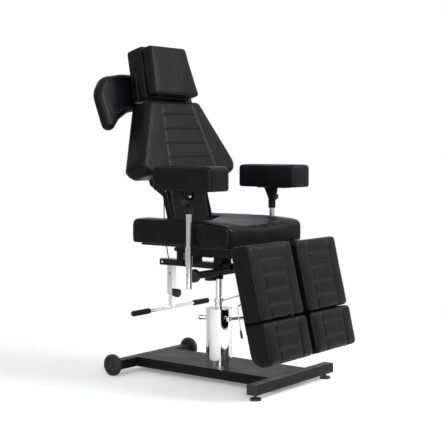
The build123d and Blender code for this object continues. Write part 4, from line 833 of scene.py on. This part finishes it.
for side, way in (("right", -1.0), ("left", 1.0)):
    low_x, high_x = sorted((way * leg_inner, way * leg_outer))
    middle_x = (low_x + high_x) / 2
    width = high_x - low_x
    leg_corners = [(low_x, leg_foot), (high_x, leg_foot), (high_x, leg_crown), (low_x, leg_crown)]
    leg_pad = foam_block(f"{side}_leg_pad", leg_corners, radii=0.014, rings=leg_rings,
                         middle=(middle_x, -0.139))
    stuffed(leg_pad, cell=0.006, cap=0.002, outward=(0, 0, 1), back_depth=pad_rear)
    seam_x = [low_x + share * width for share in seam_shares]
    leg_seams = [((x, leg_seam_low), (x, leg_seam_high)) for x in seam_x]
    for share in (0.2, 0.4, 0.6, 0.8):
        rung = leg_rung_low + leg_rung_run * share
        leg_seams.append(((seam_x[0], rung), (seam_x[1], rung)))
    sewn(leg_pad, leg_seams)
    moved(leg_pad, leg_face[0])
    covered(leg_pad, f"{side}_splay_body", "black_vinyl", firm_fill, f"{side}_leg_cushion")
    stitched(f"{side}_leg_stitches", leg_pad, leg_face, leg_seams, f"{side}_splay_body")

    heel_rings = [(low_x, 0.012), (low_x + 0.001, 0.007), (low_x + 0.005, 0.002), (low_x + 0.014, 0.0),
                  (high_x - 0.014, 0.0), (high_x - 0.005, 0.002), (high_x - 0.001, 0.007), (high_x, 0.012)]
    foot_pad = foam_block(f"{side}_foot_pad", heel_corners, heel_radii, heel_rings, middle=(0.075, -0.390))
    turned = read_points(foot_pad.data)
    write_points(foot_pad, turned[:, [2, 1, 0]])
    foot_pad.data.flip_normals()
    stuffed(foot_pad, cell=0.006, cap=0.002, outward=(0, 0, 1), back_depth=pad_rear)
    foot_seams = [((x, foot_seam_low), (x, foot_seam_high)) for x in seam_x]
    for share in (0.3, 0.66):
        rung = foot_rung_high - foot_rung_run * share
        foot_seams.append(((seam_x[0], rung), (seam_x[1], rung)))
    sewn(foot_pad, foot_seams)
    moved(foot_pad, leg_face[0])
    covered(foot_pad, f"{side}_foot_body", "black_vinyl", firm_fill, f"{side}_foot_cushion")
    stitched(f"{side}_foot_stitches", foot_pad, leg_face, foot_seams, f"{side}_foot_body")

    # Painted shade: a thin dark vinyl sheet behind the joint that stands in for the shade in the gap between
    # the pads.
    shade_strip_corners = [(low_x + shade_strip_inset, shade_strip_low), (high_x - shade_strip_inset, shade_strip_low),
                    (high_x - shade_strip_inset, shade_strip_high), (low_x + shade_strip_inset, shade_strip_high)]
    shade_strip = foam_block(f"{side}_joint_shade_strip", shade_strip_corners, radii=0.006, rings=shade_strip_rings,
                      middle=(middle_x, -0.305))
    moved(shade_strip, leg_face[0])
    fixed(shade_strip, vinyl, f"{side}_splay_body")

# Spring guards. Two small plates pressed from sheet steel and powder coated, which stand on the rail at each
# side of the gas spring.
guard_corners = [(0.012, 0.552), (0.150, 0.552), (0.150, 0.590), (0.012, 0.603)]
guard_rings = [(0.0265, 0.0008), (0.0269, 0.0), (0.0291, 0.0), (0.0295, 0.0008)]
for side, way in (("right", -1.0), ("left", 1.0)):
    guard = foam_block(f"{side}_spring_guard", guard_corners, radii=0.008, rings=guard_rings,
                       middle=(0.08, 0.575))
    flat = read_points(guard.data)
    write_points(guard, np.stack([way * flat[:, 2], flat[:, 0] + column_y, flat[:, 1]], 1))
    if way < 0:
        guard.data.flip_normals()
    fixed(guard, powder_black, "seat_body")

# Small fittings. Turned steel and moulded parts: the pipe stub behind the pump cover, the rear bracket's
# lock knob and the plated bolts that hold the arm brackets' cheeks.


def lathed(name, start, way, profile, material, body):
    """A turned part: each profile pair is a distance along the axis and a radius, swept round in 40 steps,
    and the two ends close on the axis."""
    count = 40
    start, way = np.array(start, float), np.array(way, float)
    way = way / np.linalg.norm(way)
    beside = np.cross(way, (0.0, 0.0, 1.0) if abs(way[2]) < 0.9 else (1.0, 0.0, 0.0))
    beside = beside / np.linalg.norm(beside)
    other = np.cross(way, beside)
    angle = np.linspace(0, 2 * math.pi, count, endpoint=False)
    spokes = np.cos(angle)[:, None] * beside + np.sin(angle)[:, None] * other
    rings = [start + way * far + spokes * radius for far, radius in profile]
    ends = [[start + way * profile[0][0]], [start + way * profile[-1][0]]]
    part = piece_from(name, np.concatenate(rings + ends), closed_faces(len(profile), count))
    smoothed(part)
    fixed(part, material, body)


stub_place = (0.0, column_y + 0.058, 0.268)
pipe_profile = [(0.0, 0.0088), (0.040, 0.0088), (0.0404, 0.0104), (0.041, 0.011), (0.055, 0.011),
                (0.0562, 0.0104), (0.057, 0.009)]
lathed("pump_pipe_stub", stub_place, (0, 1, 0), pipe_profile, chrome, "base")
bracket_knob_place = (0.0, column_y + 0.2265, 0.577)
knob_profile = [(0.0, 0.0045), (0.010, 0.0045), (0.0104, 0.0085), (0.012, 0.0098), (0.030, 0.0102),
                (0.034, 0.0092), (0.036, 0.006)]
lathed("rear_bracket_knob", bracket_knob_place, (0, 1, 0), knob_profile, knob_black, "seat_body")
bolt_out, bolt_y, bolt_z = 0.3250, -0.077, 0.8465
bolt_profile = [(-0.0002, 0.0052), (0.0, 0.0068), (0.0010, 0.0068), (0.0012, 0.0052), (0.0040, 0.0046),
                (0.0048, 0.0034)]
for side, way in (("right", -1.0), ("left", 1.0)):
    lathed(f"{side}_arm_bracket_bolt", (way * bolt_out, bolt_y, bolt_z), (way, 0, 0), bolt_profile,
           bright_steel, f"{side}_arm_rest_body")

# Leg rest release levers. A thin plated rod is bent out of each leg rest's guide and hangs beside the pad,
# with a moulded end pushed on to pull it by.


def bent(name, route, radius):
    """A round rod or cable as a closed mesh: a circle carried along a smooth NURBS line through the route's
    points."""
    line = bpy.data.curves.new(name + "_line", "CURVE")
    line.dimensions = "3D"
    line.resolution_u = 10
    line.bevel_depth = radius
    line.bevel_resolution = 3
    line.use_fill_caps = True
    spline = line.splines.new("NURBS")
    spline.points.add(len(route) - 1)
    for spot, point in zip(spline.points, route):
        spot.co = (*point, 1.0)
    spline.order_u = 3
    spline.use_endpoint_u = True
    guide = bpy.data.objects.new(name + "_guide", line)
    bpy.context.scene.collection.objects.link(guide)
    mesh = bpy.data.meshes.new_from_object(guide.evaluated_get(bpy.context.evaluated_depsgraph_get()))
    bpy.data.objects.remove(guide)
    piece = bpy.data.objects.new(name, mesh)
    piece.data.materials.clear()
    bpy.context.scene.collection.objects.link(piece)
    smoothed(piece)
    return piece


lever_radius = 0.0026
tip_profile = [(0.0, 0.0030), (0.0015, 0.0044), (0.006, 0.0050), (0.028, 0.0052), (0.033, 0.0044),
               (0.035, 0.0028)]
for side, way in (("right", -1.0), ("left", 1.0)):
    lever_route = np.array([(way * 0.266, -0.212, 0.008), (way * 0.300, -0.212, 0.006),
                            (way * 0.332, -0.214, 0.002), (way * 0.334, -0.240, -0.001),
                            (way * 0.335, -0.318, -0.004)])
    lever = bent(f"{side}_leg_release_lever", leg_face[0](lever_route).tolist(), lever_radius)
    fixed(lever, bright_steel, f"{side}_splay_body")
    tip = leg_face[0](np.array([[way * 0.335, -0.316, -0.004], [way * 0.335, -0.352, -0.0055]]))
    lathed(f"{side}_leg_release_tip", tip[0], tip[1] - tip[0], tip_profile, moulded_black,
           f"{side}_splay_body")

# Recline release cable. A thin sheathed cable from the release under the seat up to the back board. The
# real one bends with the back rest. Here it is built in one shape and joined to no body.
cable_radius = 0.0025
cable_route = [(0.0, 0.302 + column_y, 0.5309), (0.0, 0.322 + column_y, 0.620),
               (0.0, 0.330 + column_y, 0.730), (0.0, 0.328 + column_y, 0.850),
               (0.0, 0.300 + column_y, 0.925), (0.0, 0.284 + column_y, 0.948)]
release_cable = bent("release_cable", cable_route, cable_radius)
release_cable.data.materials.append(moulded_black)
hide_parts("recline_cable")
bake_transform(release_cable)
